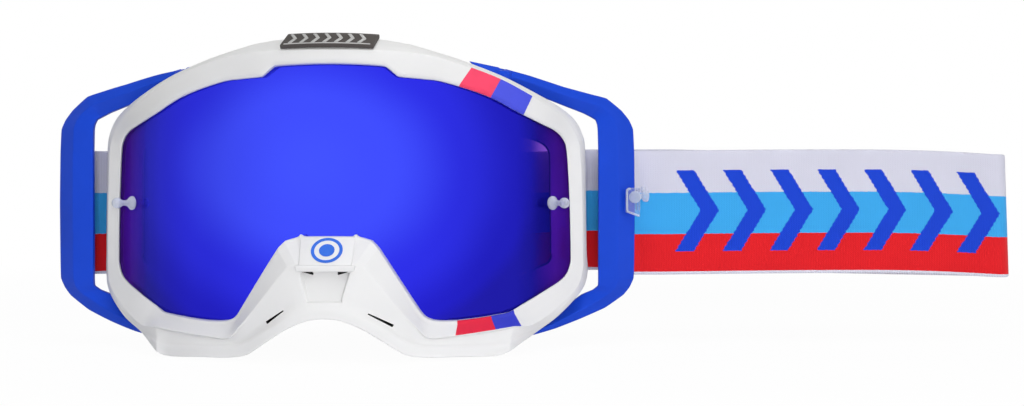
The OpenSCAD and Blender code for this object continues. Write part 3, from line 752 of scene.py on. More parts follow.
def nose_front(z):
    """Depth of the badge panel's plane and of the face under it, at height z on the mid-plane."""
    a, b = (NOSE_TOP, NOSE_CREASE) if z > NOSE_CREASE[0] else (NOSE_CREASE, NOSE_LOW)
    return a[1] + (b[1] - a[1]) * (z - a[0]) / (b[0] - a[0])


def across_nose(top, low):
    """An outline across the nose from two rows of half width, depth and height."""
    (half_a, y_a, z_a), (half_b, y_b, z_b) = top, low
    return [(-half_a, y_a, z_a), (half_a, y_a, z_a), (half_b, y_b, z_b), (-half_b, y_b, z_b)]


def badge_panel():
    """A slightly proud plate with soft edges under the badge."""
    outline = across_nose((9.0, NOSE_TOP[1] + 0.45, -10.9), (8.5, nose_front(-19.9) - 0.55, -19.9))
    return prism("panel", outline, (0, 3.2, 0), bevel=0.4)


def ledge():
    """The ledge over the slot."""
    y = nose_front(-20.8)
    outline = across_nose((9.6, y - 0.95, -19.9), (9.2, y - 0.75, -21.8))
    return prism("ledge", outline, (0, 3.5, 0), bevel=0.35)


def vent_cutters(xs, half, low, high):
    """Openings through the frame's wall behind the lens, from height low to high."""
    cutters = []
    for x in xs:
        y = float(face_y(x, FRAME_REAR)) - 8
        cutters.append(block("vent", (x - half, y - 2, low), (x + half, y + 2, high), bevel=1.2))
    return cutters


def frame_cutters():
    """The recess under the ledge, its two openings, the slits beside the nose, and the vents."""
    cutters = [between("recess", across_nose((11.4, -78.0, -22.3), (8.6, -78.0, -34.0)),
                       across_nose((7.3, -70.4, -22.0), (5.0, -72.4, -31.2)))]
    for side in (-1, 1):
        outline = [(side * x, -74.0, z) for x, z in ((7.4, -21.9), (3.9, -21.9), (3.9, -23.0), (6.9, -22.2))]
        cutters.append(prism("slot", outline, (0, 8.0, 0)))
    for side, inner, outer in ((-1, (-13.3, -34.3), (-19.0, -38.3)), (1, (13.7, -35.3), (21.4, -39.4))):
        a, b = (np.array([x, -90.0, z]) for x, z in (inner, outer))
        across = np.array([0.27 * side, 0, 0.38])
        outline = [a - across * 0.45, b - across, b + across, a + across * 0.45]
        cutters.append(prism("slit", outline, (0, 32.0, 0)))
    cutters += vent_cutters((-33, -11, 11, 33), 6.5, 42, 58)
    return cutters + vent_cutters((-49, -34, 34, 49), 5.2, -51, -35)


shell = loft("frame_shell", nose_sculpt(frame_rings(full_u)), True, 30)
shell = boolean(shell, badge_panel(), "UNION", 30)
shell = boolean(shell, ledge(), "UNION", 30)
wear(shell, mat_white)
# The slots' and slits' cutters leave their near-black material on the walls they cut: painted shade.
for cutter in frame_cutters():
    if cutter.name.startswith(("slit", "slot")):
        wear(cutter, mat_painted_slot_shade)
    shell = boolean(shell, cutter, "DIFFERENCE", 30)
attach(shell, "goggle")
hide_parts("front_frame")

# Prints on the frame

PRINT_PROUD, PRINT_SUNK = 0.09, 0.12


def print_band(name, u0, u1, first, last, material, node_name):
    """A film print from place u0 to u1 of the outline, over the section's points first to last."""
    grid = frame_rings(np.linspace(u0, u1, 25))[:, first:last + 1].transpose(1, 0, 2)
    normal = np.cross(np.gradient(grid, axis=1), np.gradient(grid, axis=0))
    normal /= np.linalg.norm(normal, axis=2)[..., None] + 1e-12
    if normal[..., 1].mean() > 0:
        normal = -normal
    obj = slab(name, grid + normal * PRINT_PROUD, grid - normal * PRINT_SUNK, 40)
    dress(obj, material, "goggle", node_name)


print_band("print_brow_red", 5.37, 6.1, 1, 15, mat_red_up, "decal_brow_red")
print_band("print_brow_blue", 6.1, 7.15, 1, 15, mat_print_blue, "decal_brow_blue")
print_band("print_cheek_red", 18.75, 19.95, 0, 14, mat_red_shaded, "decal_cheek_red")
print_band("print_cheek_blue", 17.55, 18.75, 0, 14, mat_print_blue_shaded, "decal_cheek_blue")

BADGE_Z, BADGE_T = -15.2, 0.1


def nose_badge():
    """A ring round a dot, as one flat print on the panel."""
    centre = np.array((0.1, nose_front(BADGE_Z) - 0.62, BADGE_Z))
    right = np.array((1.0, 0, 0))
    up = np.array((0, NOSE_TOP[1] - NOSE_CREASE[1], NOSE_TOP[0] - NOSE_CREASE[0]))
    up /= np.linalg.norm(up)
    normal = np.cross(right, up)
    parts = []
    for r_in, r_out in ((4.05, 5.1), (0.02, 2.5)):
        section = ((r_in, 0), (r_in, BADGE_T), (r_out, BADGE_T), (r_out, 0))
        rings = []
        for a in np.linspace(0, 2 * math.pi, 72, endpoint=False):
            d = right * math.cos(a) + up * math.sin(a)
            rings.append([centre + d * r + normal * h for r, h in section])
        parts.append(loft("badge_part", rings, True))
    dress(join("badge_print", parts), mat_badge, "goggle", "nose_badge")


nose_badge()

# Lens


def lens_sheet():
    """The sheet as sections from its middle over the front to the edge and back behind."""
    p = parts_at(full_u[::2])
    outline = p["lip"] + p["out"] * LENS_EDGE
    heart = np.array([0.0, 14.0])
    shares = np.concatenate([[0.0], np.linspace(0.04, 0.9, 26), np.linspace(0.9, 1, 5)[1:]])
    front = [in_lens(heart + (outline - heart) * s, 0.0) for s in shares]
    back = [in_lens(heart + (outline - heart) * s, LENS_T) for s in shares[::-1]]
    return loft("lens_sheet", np.stack(front + back, 1), True, 40)


dress(lens_sheet(), mirror_lens(), "goggle", "lens")

POST_X = 73.5
POST_PROFILE = [(0, 0), (2.35, 0), (2.45, 0.3), (2.4, 0.7), (1.9, 1.3), (1.25, 1.9), (0.95, 2.8), (0.95, 3.6),
                (1.15, 4.3), (1.6, 4.9), (1.85, 5.6), (1.85, 6.2), (1.6, 6.9), (1.1, 7.4), (0.5, 7.6),
                (0, 7.65)]


def tear_off_post(side, word):
    """A clear dumbbell that stands square on the lens: a flange, a thin neck and a round head."""
    turn = side * math.asin(POST_X / LENS_R)
    obj = lathe("tear_off_post_" + word, POST_PROFILE, (side * POST_X, float(lens_y(POST_X)), 0),
                (math.sin(turn), -math.cos(turn), 0))
    dress(obj, mat_clear, "goggle", "post_" + word)


tear_off_post(-1, "left")
tear_off_post(1, "right")

# Rear frame and foam

SIDE_CUTS = [0.2, 0.4, 0.6, 0.8]
LUG_R, LUG_T, LUG_ZS = 3.6, 1.4, (41.2, -44.1)
STRIP_T = 2.5


def seal_loft(name, outer, inner, front, back, radius, material, node_name, wave=0.0):
    """A ring round the face, outer to inner mm inside the frame's rear edge, from depth front to back."""
    p = parts_at(full_u[::2])
    a, b = p["rear"] - p["out"] * outer, p["rear"] - p["out"] * inner
    corners = np.stack([on_face(a, front), on_face(a, back), on_face(b, back), on_face(b, front)], 1)
    if wave:
        along = np.arange(len(a))
        swell = wave * (np.sin(along * 0.21) + 0.6 * np.sin(along * 0.083 + 1.3))
        corners[:, 1:3, 1] += swell[:, None] * 0.5 - wave
    rings = round_section(corners, np.full((len(a), 4), radius), [SIDE_CUTS] * 4, k=4)
    return dress(loft(name, rings, True, 45), material, "goggle", node_name)


def lugs():
    """The rear frame's eyes for the hinge pins, each on an arm."""
    made = []
    root_y = float(face_y(HINGE_X, FRAME_REAR)) + REAR_T / 3
    for x in (-HINGE_X, HINGE_X):
        for z in LUG_ZS:
            made.append(lathe("lug_eye", rod_profile(LUG_R, LUG_T, 0.2), (x, HINGE_Y, z), (0, 0, 1)))
            made.append(block("lug_arm", (x - LUG_R, HINGE_Y, z), (x + LUG_R, root_y, z + LUG_T), bevel=0.2))
    return made


seal_loft("rear_shell", 0.0, FOAM_W + 1, FRAME_REAR, FOAM_T, 0.5, mat_rear, "rear_frame")
dress(join("rear_lugs", lugs()), mat_rear, "goggle")
base = seal_loft("foam_base_pad", 1.2, FOAM_W, FOAM_T, FLEECE + FOAM_MID, 0.5,
                 mat_foam, "foam_base")
middle = seal_loft("foam_middle_pad", 1.7, FOAM_W + 0.5, FLEECE + FOAM_MID, FLEECE, 0.9,
                   mat_foam_mid, "foam_middle")
fleece = seal_loft("foam_fleece_pad", 2.2, FOAM_W + 1, FLEECE, 0.0, 1.35,
                   mat_fleece, "foam_fleece", wave=0.25)


def filter_strip(name, u0, u1, steps, node_name):
    """Filter foam behind the vents in the frame's wall."""
    us = np.linspace(u0, u1, steps)
    corners, _ = frame_corners(us)
    out = parts_at(us)["out"]
    into = np.stack([-out[:, 0], np.zeros(steps), -out[:, 1]], 1)
    front, run = corners[:, 9], corners[:, 8] - corners[:, 9]
    a, b = front + run * 0.2 + into * 0.3, front + run * 0.85 + into * 0.3
    corners = np.stack([a, b, b + into * STRIP_T, a + into * STRIP_T], 1)
    rings = round_section(corners, np.full((steps, 4), 0.5), [SIDE_CUTS, [0.5], SIDE_CUTS, [0.5]])
    strip = dress(loft(name, rings, False, 45), mat_filter, "goggle", node_name)


filter_strip("filter_top", -5, 5, 80, "vent_foam_top")
filter_strip("filter_cheek_right", 18.5, 21.5, 30, "vent_foam_cheek_right")
filter_strip("filter_cheek_left", -18.5, -21.5, 30, "vent_foam_cheek_left")

for name in ("hinge_pins_left", "hinge_pins_right"):
    wear(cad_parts[name], mat_pin)

# Outriggers

# The arms from top to bottom. Each row: outer edge x, y behind the hinge, z, then inner edge the same
ARM = np.array([
    [44.5, -1.5, 50, 48, -2, 46.4], [56, -1.2, 47.6, 56, -2, 41.8], [61, -0.4, 46.3, 61, -0.8, 41.0],
    [66, 1.2, 45.0, 66, 0.5, 39.4], [78, 4.6, 41.3, 77.7, 2.8, 35], [88, 7.4, 38.9, 84.8, 4.4, 32.4],
    [93.6, 9, 37.6, 87.8, 4.6, 30.9], [99, 9.8, 33.4, 89.4, 3.6, 29.8], [101.8, 10, 30, 90, 2.9, 28],
    [103.3, 10, 26.5, 90.2, 2.6, 26], [103.7, 10, 18, 90.4, 2.8, 18], [103.9, 10, 0, 90.4, 3, 0],
    [103.7, 10, -20, 90.4, 3.2, -20], [103.5, 10, -27, 90.4, 3.2, -27], [102, 9.8, -30.4, 90.3, 3.6, -29.6],
    [99.6, 9.4, -33.2, 88.5, 4.6, -31.2], [93, 8.4, -37.6, 84.5, 5.6, -33],
    [84, 6.2, -41.3, 79.5, 5.4, -36.6], [75, 4, -44.6, 73, 4, -41], [66, 0.5, -46.9, 66, 0.5, -44.4],
    [54, -2, -48.4, 54, -2.2, -44.6]], float)
ARM_T = 3.6
FOLD_BACK = 2.6
FOLD_SHARE = 0.46
ARM_FULL = {-1: 1.2, 1: 0.2}
FOLD_SINK = 0.9
ARM_CUTS = [[0.33, 0.66], [0.25, 0.5, 0.75], [0.5], [0.5], [0.5], [0.5]]
ARM_RADII = [0.45, 0.4, 0.6, 0.6, 1.5, 0.5]
FULL_FROM, FULL_RUN = 60, 42
# Radius, height and lower end of the bosses on the pins
BOSSES = [(3.6, 3.6, 43.0), (4.1, 5.7, -50.2)]
BORE_R, BORE_TALL, BORE_ZS = 1.56, 6.6, (41.5, -49.4)
EAR_T, EAR_ROOM, EAR_FRONT, EAR_BACK = 3, 1, 8, 0.6


def smooth_rows(table, steps, tension=0.35):
    """Rows between the given ones, with corners only lightly rounded."""
    slopes = np.vstack([table[1] - table[0], table[2:] - table[:-2], table[-1] - table[-2]]) / 2 * tension
    return spline(table, slopes, np.arange((len(table) - 1) * steps + 1) / steps)


def boss_profile(r, tall):
    """A turned boss with rounded ends."""
    low = [(0, 0), (r - 1, 0), (r - 0.3, 0.3), (r, 1)]
    return low + [(x, tall - z) for x, z in low[::-1]]


def outrigger(side, name):
    """The arms with a fold along them, their bosses on the hinge pins, and the strap bar between two ears."""
    rows = smooth_rows(ARM, 8)
    swell = np.sin(np.pi * np.clip((rows[:, 0] - FULL_FROM) / FULL_RUN, 0, 1)) * np.sign(rows[:, 2])
    outer = np.stack([rows[:, 0] * side, HINGE_Y + rows[:, 1], rows[:, 2] + ARM_FULL[side] * swell], 1)
    inner = np.stack([rows[:, 3] * side, HINGE_Y + rows[:, 4] + FOLD_BACK, rows[:, 5]], 1)
    fold = inner * FOLD_SHARE + outer * (1 - FOLD_SHARE) - [0, FOLD_SINK + FOLD_BACK * FOLD_SHARE, 0]
    back = np.array([0, ARM_T, 0])
    corners = np.stack([inner, fold, outer, outer + back, fold + back + [0, 0.2, 0], inner + back * 0.7], 1)
    arm = loft("arm", round_section(corners, np.tile(ARM_RADII, (len(rows), 1)), ARM_CUTS, k=4), False, 22)
    pin_x, bar_x, up = side * HINGE_X, side * BAR_X, (0, 0, 1)
    half = STRAP_W / 2 + EAR_ROOM
    low, top = STRAP_MID - half - EAR_T, STRAP_MID + half
    added = [lathe("boss", boss_profile(r, tall), (pin_x, HINGE_Y, z), up) for r, tall, z in BOSSES]
    added.append(lathe("bar", rod_profile(BAR_R, 2 * (half + EAR_T), 0.3), (bar_x, BAR_Y, low), up))
    for z in (low, top):
        ear = (bar_x - BAR_R, BAR_Y - EAR_FRONT, z), (bar_x + BAR_R, BAR_Y + EAR_BACK, z + EAR_T)
        added.append(block("ear", *ear, bevel=0.35))
    for piece in added:
        arm = boolean(arm, piece, "UNION", 32)
    for z in BORE_ZS:
        profile = [(0, 0), (BORE_R, 0), (BORE_R, BORE_TALL), (0, BORE_TALL)]
        arm = boolean(arm, lathe("bore", profile, (pin_x, HINGE_Y, z), up), "DIFFERENCE", 32)
    arm.name = arm.data.name = name + "_shell"
    dress(arm, mat_blue, name, name)


outrigger(-1, "outrigger_left")
outrigger(1, "outrigger_right")

# Webbing


def web_solid(name, path, shift=None):
    """A flat band with soft selvages along a path of x y points (mm). shift(s, z) gives dx dy dz."""
    path = np.asarray(path, float)
    s = np.concatenate([[0], np.cumsum(np.linalg.norm(np.diff(path, axis=0), axis=1))])
    tangent = np.gradient(path, axis=0)
    tangent /= np.linalg.norm(tangent, axis=1)[:, None]
    normal = np.stack([tangent[:, 1], -tangent[:, 0]], 1)
    half_t = STRAP_T / 2
    flat = STRAP_W / 2 - half_t
    across = np.linspace(-flat, flat, 14)
    bend = np.radians(np.linspace(90, -90, 7)[1:-1])
    ring = [(z, 1.0) for z in across]
    ring += [(flat + half_t * math.cos(a), math.sin(a)) for a in bend]
    ring += [(-z, -y) for z, y in ring]
    verts = np.zeros((len(path), len(ring), 3))
    for j, (z, n) in enumerate(ring):
        verts[:, j, :2] = path + normal * n * half_t
        verts[:, j, 2] = STRAP_MID + z
        if shift:
            verts[:, j] += shift(s, z)
    obj = loft(name, verts, False, 50)
    layer = obj.data.uv_layers.new(name=UV_RUN)
    for loop in obj.data.loops:
        i, j = divmod(loop.vertex_index, len(ring))
        layer.data[loop.index].uv = (s[i] * 0.001, ring[j][0] * 0.01)
    return obj


LOOP_LEN, SEAT_GAP, LAY = 15.0, 0.3, 32.0
STRAP_START = BAR_X + LOOP_LEN + SEAT_GAP
FOLD_X = BAR_X + 143.5
BACK_Y = float(face_y(82.0, 0)) + 3.2
FOLD_R = (BACK_Y - BAR_Y) / 2 - 1.6
TURN_X = FOLD_X - FOLD_R - STRAP_T / 2
FRONT_L = TURN_X - STRAP_START
SPLICE_X = 18.0
BEND_X = -73.0
WRAP_R = BAR_R + 0.08 + STRAP_T / 2
PLY = STRAP_T / 2 + 0.02
WRAP_END, PLY_FROM, PLY_TO = 3.0, 6.4, 0.4


def ply(x):
    """How far a layer of the loop stands from its middle plane, x from the bar's axis along the loop."""
    share = np.clip((PLY_FROM - np.asarray(x, float)) / (PLY_FROM - PLY_TO), 0, 1)
    return PLY + (WRAP_R - PLY) * ease(share)


def from_bar(side, lay, pts):
    """Points of a loop's own plane, put at its bar."""
    c, s = math.cos(math.radians(lay)), math.sin(math.radians(lay))
    return [(side * BAR_X + x * c - y * s, BAR_Y + x * s + y * c) for x, y in pts]


def curve(p0, d0, p1, d1, steps):
    """A smooth passage from p0 leaving along d0 to p1 arriving along d1."""
    points = spline(np.array([p0, p1], float), np.array([d0, d1], float), np.linspace(0, 1, steps))
    return [tuple(point) for point in points]


def front_path():
    """From the right bar along the front run and round the fold."""
    lead = from_bar(1, 0.0, [(x, -ply(x)) for x in np.linspace(WRAP_END, LOOP_LEN, 14)])
    x0, y0 = lead[-1]
    level = BACK_Y - 2 * FOLD_R
    run = [(x0 + (TURN_X - x0) * t, y0 + (level - y0) * ease(t)) for t in np.linspace(0, 1, 50)[1:]]
    turn = [(TURN_X + FOLD_R * math.cos(a), BACK_Y - FOLD_R + FOLD_R * math.sin(a))
            for a in np.radians(np.linspace(-90, 90, 26)[1:-1])]
    return lead + run + turn + [(TURN_X, BACK_Y)]


def along_back(x0, x1, steps):
    """A straight path behind the face seal."""
    return [(x, BACK_Y) for x in np.linspace(x0, x1, steps)]


def left_path():
    """From the end of the rear piece down to the left bar."""
    lead = from_bar(-1, LAY, [(x, -ply(x)) for x in np.linspace(LOOP_LEN - 1.0, WRAP_END, 14)])
    arrive = (-12 * math.cos(math.radians(LAY)), -12 * math.sin(math.radians(LAY)))
    return curve((BEND_X, BACK_Y), (-12, 0), lead[0], arrive, 14)[:-1] + lead


TO_FOLD = float(np.linalg.norm(np.diff(front_path(), axis=0), axis=1).sum())
RISE, SAG, RIPPLE, TWIST = 0.5, 1.35, 0.18, 1.5
SAG_FROM, SLACK_RUN, LEVEL_X, LEVEL_RUN = 0.62, 120.0, 90.0, 30.0


def strap_shift(s, z):
    """The webbing's slack: a slight rise, a ripple, a lower folded end, and none before the adjuster."""
    out = np.zeros((len(s), 3))
    run = s - (LOOP_LEN - WRAP_END)
    t = np.clip(run / FRONT_L, 0, 1)
    bent = math.pi * FOLD_R
    before_fold = 1 - np.clip((run - FRONT_L) / bent, 0, 1)
    back = np.clip((run - FRONT_L - bent) / SLACK_RUN, 0, 1)
    level = ease(np.clip((run - FRONT_L - bent - (TURN_X - LEVEL_X)) / LEVEL_RUN, 0, 1))
    rise = RISE * np.sin(t * math.pi * 0.9) * before_fold
    sag = SAG * np.clip((t - SAG_FROM) / (1 - SAG_FROM), 0, 1) ** 2 * (1 - back)
    out[:, 2] = rise - sag + back * (1 - level)
    near = np.exp(-((run - FRONT_L - bent / 2) / 16.0) ** 2)
    out[:, 0] = near * (-z / STRAP_W) * TWIST
    out[:, 1] = RIPPLE * np.sin(run / 17.0) * np.sin(t * math.pi) * before_fold
    return out


def back_shift(s, z):
    """The slack where s starts at the end of the fold."""
    return strap_shift(s + TO_FOLD, z)


def strap_piece(name, path, material, shift, body_a, body_b=None):
    """A length of the strap. It rides body_a, or, when body_b is given, stays fixed where it lies and rides
    no body.
    """
    obj = wear(web_solid(name, path, shift), material)
    if body_b:
        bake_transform(obj)
    else:
        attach(obj, body_a)
    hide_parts("strap")


# The front run starts to bend before the bar, so that it stays close to the sewn end, which keeps its angle
strap_piece("strap_front_web", front_path(), mat_strap, strap_shift, "outrigger_right", "goggle")
strap_piece("strap_back_web", along_back(TURN_X, SPLICE_X, 70), mat_loop, back_shift, "goggle")
strap_piece("strap_rear_web", along_back(SPLICE_X, BEND_X, 40), mat_loop, None, "outrigger_left", "goggle")
strap_piece("strap_left_web", left_path(), mat_loop, None, "loop_left", "outrigger_left")

STITCH_PROFILE = [(0, 0), (0.2, 0.1), (0.26, 0.5), (0.26, 1.3), (0.2, 1.7), (0, 1.8)]
SEAM_ROWS, SEAM_REACH, STITCH_STEP = (8.2, 12.6), 20.5, 2.6


def web_loop(side, lay, name, node_name):
    """The webbing's end round its bar, sewn to the strap behind with two rows of stitches."""
    tail = [(x, ply(x)) for x in np.linspace(LOOP_LEN, PLY_TO, 20)]
    arc = [(WRAP_R * math.cos(a), WRAP_R * math.sin(a)) for a in np.radians(np.linspace(82, 278, 24))[1:-1]]
    lead = [(x, -ply(x)) for x in np.linspace(PLY_TO, WRAP_END - 0.02, 5)]
    web = web_solid(name + "_web", from_bar(side, lay, tail + arc + lead))
    dress(web, mat_loop, name, node_name)
    stitches = []
    for x, y in from_bar(side, lay, [(row, PLY + STRAP_T / 2 - 0.05) for row in SEAM_ROWS]):
        for z in np.arange(-SEAM_REACH, SEAM_REACH + 0.1, STITCH_STEP):
            stitches.append(lathe("stitch", STITCH_PROFILE, (x, y, STRAP_MID + z - 0.9), (0, 0, 1), steps=8))
    dress(join(name + "_web_stitches", stitches), mat_thread, name)


web_loop(-1, LAY, "loop_left", "strap_loop_left")
web_loop(1, 0.0, "loop_right", "strap_loop_right")

BEAD_ZS, BEAD_HALF, BEAD_TALL, BEAD_WAVE = (-13, 0, 13), 1.9, 0.5, 0.35


def bead_ring(x, mid, half):
    """A bead's section: a rounded crown on the webbing's inner side and a root inside it."""
    y = BACK_Y - STRAP_T / 2
    crown = [(x, y + 0.03 - BEAD_TALL * max(0.0, math.cos(a)) ** 0.8, mid + half * math.sin(a))
             for a in np.linspace(-math.pi / 2, math.pi / 2, 11)]
    return crown + [(x, y + 0.12, mid + half * 0.9), (x, y + 0.12, mid - half * 0.9)]


def grip_beads():
    """Three wavy silicone beads along the webbing's inner side."""
    xs = np.linspace(STRAP_START + 0.5, FOLD_X - 2 * FOLD_R - 4.5, 70)
    beads = []
    for z in BEAD_ZS:
        rings = []
        for i, x in enumerate(xs):
            rise = back_shift(np.array([TURN_X - x]), z)[0, 2]
            half = BEAD_HALF * (1 if 1 < i < len(xs) - 2 else 0.6)
            rings.append(bead_ring(x, STRAP_MID + z + rise + BEAD_WAVE * math.sin(x / 3.2), half))
        beads.append(loft("bead", rings, False, 40))
    dress(join("grip_bead_lines", beads), mat_silicone, "goggle", "grip_beads")


grip_beads()

SLIDE_LEN, SLIDE_BAR, SLIDE_T, SLIDE_RAIL, SLIDE_PLAY = 21.0, 4.0, 1.6, 2.5, 0.3


def adjuster():
    """Two rails over and under the webbing, with one bar before it and two behind it."""
    half_l, half_b, half_z = SLIDE_LEN / 2, SLIDE_BAR / 2, STRAP_W / 2 + SLIDE_PLAY
    front, rear = BACK_Y - STRAP_T / 2 - SLIDE_PLAY, BACK_Y + STRAP_T / 2 + SLIDE_PLAY
    low, high = (STRAP_MID + way * (half_z + SLIDE_RAIL - 0.4) for way in (-1, 1))
    boxes = []
    for z in (STRAP_MID + half_z, STRAP_MID - half_z - SLIDE_RAIL):
        boxes.append(((SPLICE_X - half_l, front - SLIDE_T, z),
                      (SPLICE_X + half_l, rear + SLIDE_T, z + SLIDE_RAIL), 0.7))
    boxes.append(((SPLICE_X - half_b, front - SLIDE_T, low), (SPLICE_X + half_b, front, high), 0.45))
    for x in (SPLICE_X - half_l + half_b, SPLICE_X + half_l - half_b):
        boxes.append(((x - half_b + 0.1, rear, low), (x + half_b - 0.1, rear + SLIDE_T - 0.05, high), 0.45))
    body, *others = [block("adjuster_body", *box) for box in boxes]
    for other in others:
        body = boolean(body, other, "UNION", 40)
    dress(body, mat_black, "slider", "adjuster")


adjuster()

# Brow plaque

PLAQUE_R0, PLAQUE_R1 = LENS_R + BROW, LENS_R - 0.3 * BROW
# Its front line's height at the middle, the rise to its rear, the droop to its ends and the way up from it
PLAQUE_Z, PLAQUE_RISE, PLAQUE_DROOP, PLAQUE_UP = 50.25, 4.6, 0.0016, np.array([0.0, -0.55, 0.83])
# The two ends of the rubber and of the front line: x at the front and the lean to the rear
RUBBER_ENDS, LINE_ENDS = ((-15.6, 1.6), (14.6, 1.4)), ((-14.4, 1.2), (13.6, 1.2))
ARROWS, ARROW_FROM, ARROW_STEP, ARROW_W, ARROW_LEAN, ARROW_HALF = 7, -13.0, 3.75, 1.15, 1.5, 0.36


def plaque_point(x, t, lift):
    """A point over the brow: t is 0 at the crease and 1 at the rear edge, x lies along the brow."""
    r = PLAQUE_R0 + (PLAQUE_R1 - PLAQUE_R0) * t
    y = LENS_AXIS - math.sqrt(r * r - x * x)
    z = PLAQUE_Z + PLAQUE_RISE * t - PLAQUE_DROOP * x * x
    return np.array([x, y, z]) + PLAQUE_UP * lift


def plaque_slab(name, ends, t0, t1, low, high, steps, bevel):
    """A slab over the brow from share t0 to t1 and height low to high. ends(t) gives its two ends' x."""
    grids = []
    for lift in (high, low):
        grids.append(np.array([[plaque_point(x, t, lift) for x in np.linspace(*ends(t), steps)]
                               for t in np.linspace(t0, t1, 5)]))
    return round_edges(slab(name, *grids), bevel, segments=2, beyond=0.7, clamp=True, angle=35)


def leaning(ends):
    """The x of two ends, each given as its x at the front and its lean, at share t over the brow."""
    return lambda t: [x + lean * t for x, lean in ends]


def brow_plaque():
    """A rubber plaque with a slanted end; on it a row of pale arrow strokes and a line along the front."""
    base = plaque_slab("plaque_rubber", leaning(RUBBER_ENDS), 0.02, 1.0, -0.25, 1.25, 40, 0.25)
    dress(base, mat_rubber, "goggle", "brow_plaque")
    strokes = []
    for k in range(ARROWS):
        def ends(t, x0=ARROW_FROM + k * ARROW_STEP):
            lean = ARROW_LEAN * (1 - abs(t - 0.5) / ARROW_HALF)
            return x0 + lean, x0 + lean + ARROW_W
        for t0 in (0.5 - ARROW_HALF, 0.5):
            strokes.append(plaque_slab("stroke", ends, t0, t0 + ARROW_HALF, 1.0, 1.5, 4, 0.08))
    line = plaque_slab("line", leaning(LINE_ENDS), 0.045, 0.10, 1.0, 1.42, 40, 0.06)
    dress(join("plaque_arrows", strokes + [line]), mat_pale, "goggle")


brow_plaque()

# Tab clip


def rod(name, points, r, sides=10):
    """A thin round bar through the given points (mm), with flat ends."""
    pts = np.asarray(points, float)
    along = np.gradient(pts, axis=0)
    along /= np.linalg.norm(along, axis=1)[:, None]
    across = np.cross(along, [0.0, 1.0, 0.02])
    across /= np.linalg.norm(across, axis=1)[:, None]
    other = np.cross(along, across)
    ang = np.linspace(0, 2 * math.pi, sides, endpoint=False)
    rings = [[p + r * (a * math.cos(t) + b * math.sin(t)) for t in ang]
             for p, a, b in zip(pts, across, other)]
    return loft(name, rings, False, 50)


TAB_X, TAB_Y, TAB_T = 100.2, HINGE_Y + 5.3, 0.9
PEG_PROFILE = [(0, 0), (0.9, 0), (1.0, 0.3), (1.0, 1.5), (1.7, 1.9), (2.0, 2.5), (2.0, 3.2), (1.7, 3.8),
               (1.0, 4.1), (0, 4.2)]
COLLAR_PROFILE = [(1.2, 0), (2.1, 0.1), (2.2, 0.6), (2.1, 1.1), (1.2, 1.2)]
PIN_PROFILE = [(0, 0), (0.7, 0.1), (0.75, 1.6), (0.5, 2.0), (0, 2.1)]
# The rim along the plate's free edge, as x z from the plate's corner
TAB_RIM = [(1.7, 5.1), (0.9, 5.05), (0.45, 4.6), (0.4, 3.6), (0.4, 0), (0.4, -2.4), (0.6, -3.0), (1.4, -3.4),
           (4.7, -4.6)]


def tab_at(x, z, y=0.0):
    """A place of the clip, from the corner of its plate."""
    return (TAB_X + x, TAB_Y + y, z)


def tab_clip():
    """A clear plate bent round the arm's edge, with a raised rim, and a short peg with a round head."""
    outline = [tab_at(x, z) for x, z in ((0, -3.3), (5.0, -4.9), (5.0, 5.4), (0.9, 5.4), (0, 4.8))]
    side = [tab_at(x, z, 0.1) for x, z in ((4.2, -2.6), (5.1, -2.6), (5.1, 5.2), (4.2, 5.2))]
    plate = prism("tab_clip_clear", outline, (0, TAB_T, 0), bevel=0.22)
    plate = boolean(plate, prism("cheek", side, (0, ARM_T + 3.6, 0), bevel=0.22), "UNION")
    dress(plate, mat_tab, "outrigger_right", "tab_clip")
    parts = [rod("tab_rim", [tab_at(x, z, -0.05) for x, z in TAB_RIM], 0.38),
             lathe("peg", PEG_PROFILE, tab_at(4.4, 2.4, 2.2), (1, 0, 0), steps=32),
             lathe("collar", COLLAR_PROFILE, tab_at(3.1, 2.1, -0.4), (0.35, 1, 0), steps=32),
             lathe("pin", PIN_PROFILE, tab_at(6.4, 3.9, 2.2), (0, 0, 1), steps=20)]
    dress(join("tab_clip_knobs", parts), mat_clear, "outrigger_right")


tab_clip()

# Stage and light

FLOOR_Z = -0.0512
PAPER, WHITE = (0.93, 0.93, 0.93), (1.0, 1.0, 1.0)


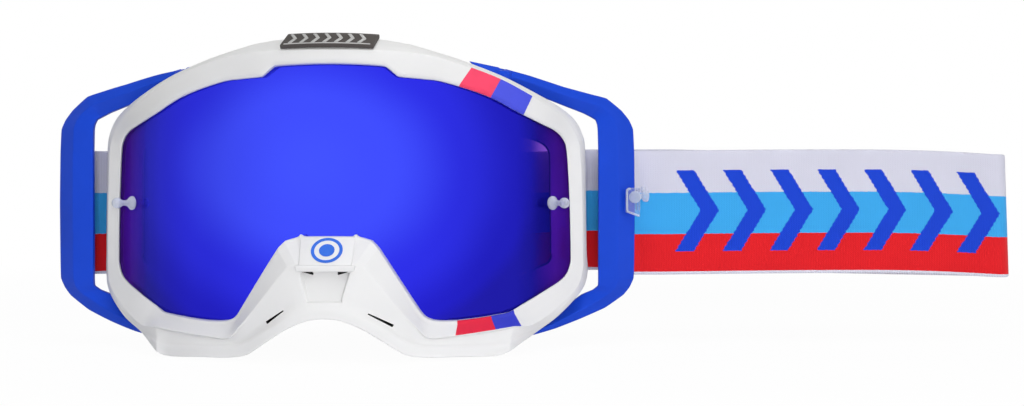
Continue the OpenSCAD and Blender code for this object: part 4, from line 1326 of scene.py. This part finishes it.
def pale_floor():
    """A pale floor that shows the camera a white ground and keeps the object's shadow near it."""
    bpy.ops.mesh.primitive_plane_add(size=6.0, location=(0.05, 0.2, FLOOR_Z))
    floor = bpy.context.object
    floor.name = "floor"
    m, tree, p = new_material("floor")
    fill(p, {"Base Color": PAPER, "Roughness": 0.9})
    glow = tree.node("Emission", {"Color": WHITE, "Strength": 1.0})
    x, y, _ = tree.split(tree.place)
    glows = tree.ramp((x * x + y * y).math("SQRT"), [(0.10, 0.95), (0.55, 1.0)])
    put(tree.surface, tree.blend(tree.rays("Camera", "Glossy", "Transmission") * glows, p, glow))
    wear(floor, m)
    floor.visible_glossy = False


def world_light():
    """A dim even light, a white background, and what shiny surfaces mirror, brightest behind the camera."""
    world = bpy.data.worlds.new("studio")
    scene.world = world
    tree = Tree(world, "ShaderNodeOutputWorld")
    lit = tree.node("Background", {"Color": (0.98, 0.985, 1.0), "Strength": 0.21})
    plain = tree.node("Background", {"Color": WHITE, "Strength": 1.0})
    _, y, _ = tree.split(tree.value("TexCoord", output="Generated"))
    level = tree.ramp(y * -0.5 + 0.5, [(0.0, 0.80), (0.45, 0.62), (0.72, 0.85), (1.0, 1.05)], "EASE")
    mirrored = tree.node("Background", {"Color": level, "Strength": 1.0})
    lights = tree.blend(tree.rays("Glossy"), lit, mirrored)
    put(tree.surface, tree.blend(tree.rays("Camera", "Transmission"), lights, plain))


def lamp(name, place, target, size, watts):
    """A square soft light at a place, turned to a target."""
    data = bpy.data.lights.new(name, "AREA")
    data.shape, data.size, data.energy = "SQUARE", size, watts
    obj = linked(name, data)
    obj.location = place
    obj.rotation_euler = (Vector(target) - Vector(place)).to_track_quat("-Z", "Y").to_euler()
    obj.visible_glossy = False


AIM, SOFT = (0.05, -0.03, 0.0), 0.8
pale_floor()
world_light()
lamp("flash", (0.07, -0.62, 0.02), AIM, 0.12, 1.05)
lamp("key", (1.05, -0.9, 0.30), AIM, SOFT, 4.6)
lamp("back", (-0.3, 1.3, 0.6), (0.05, 0.0, 0.0), SOFT, 5.0)
lamp("top", (0.05, -0.45, 1.0), AIM, SOFT, 5.6)

scene.view_settings.view_transform = "Standard"
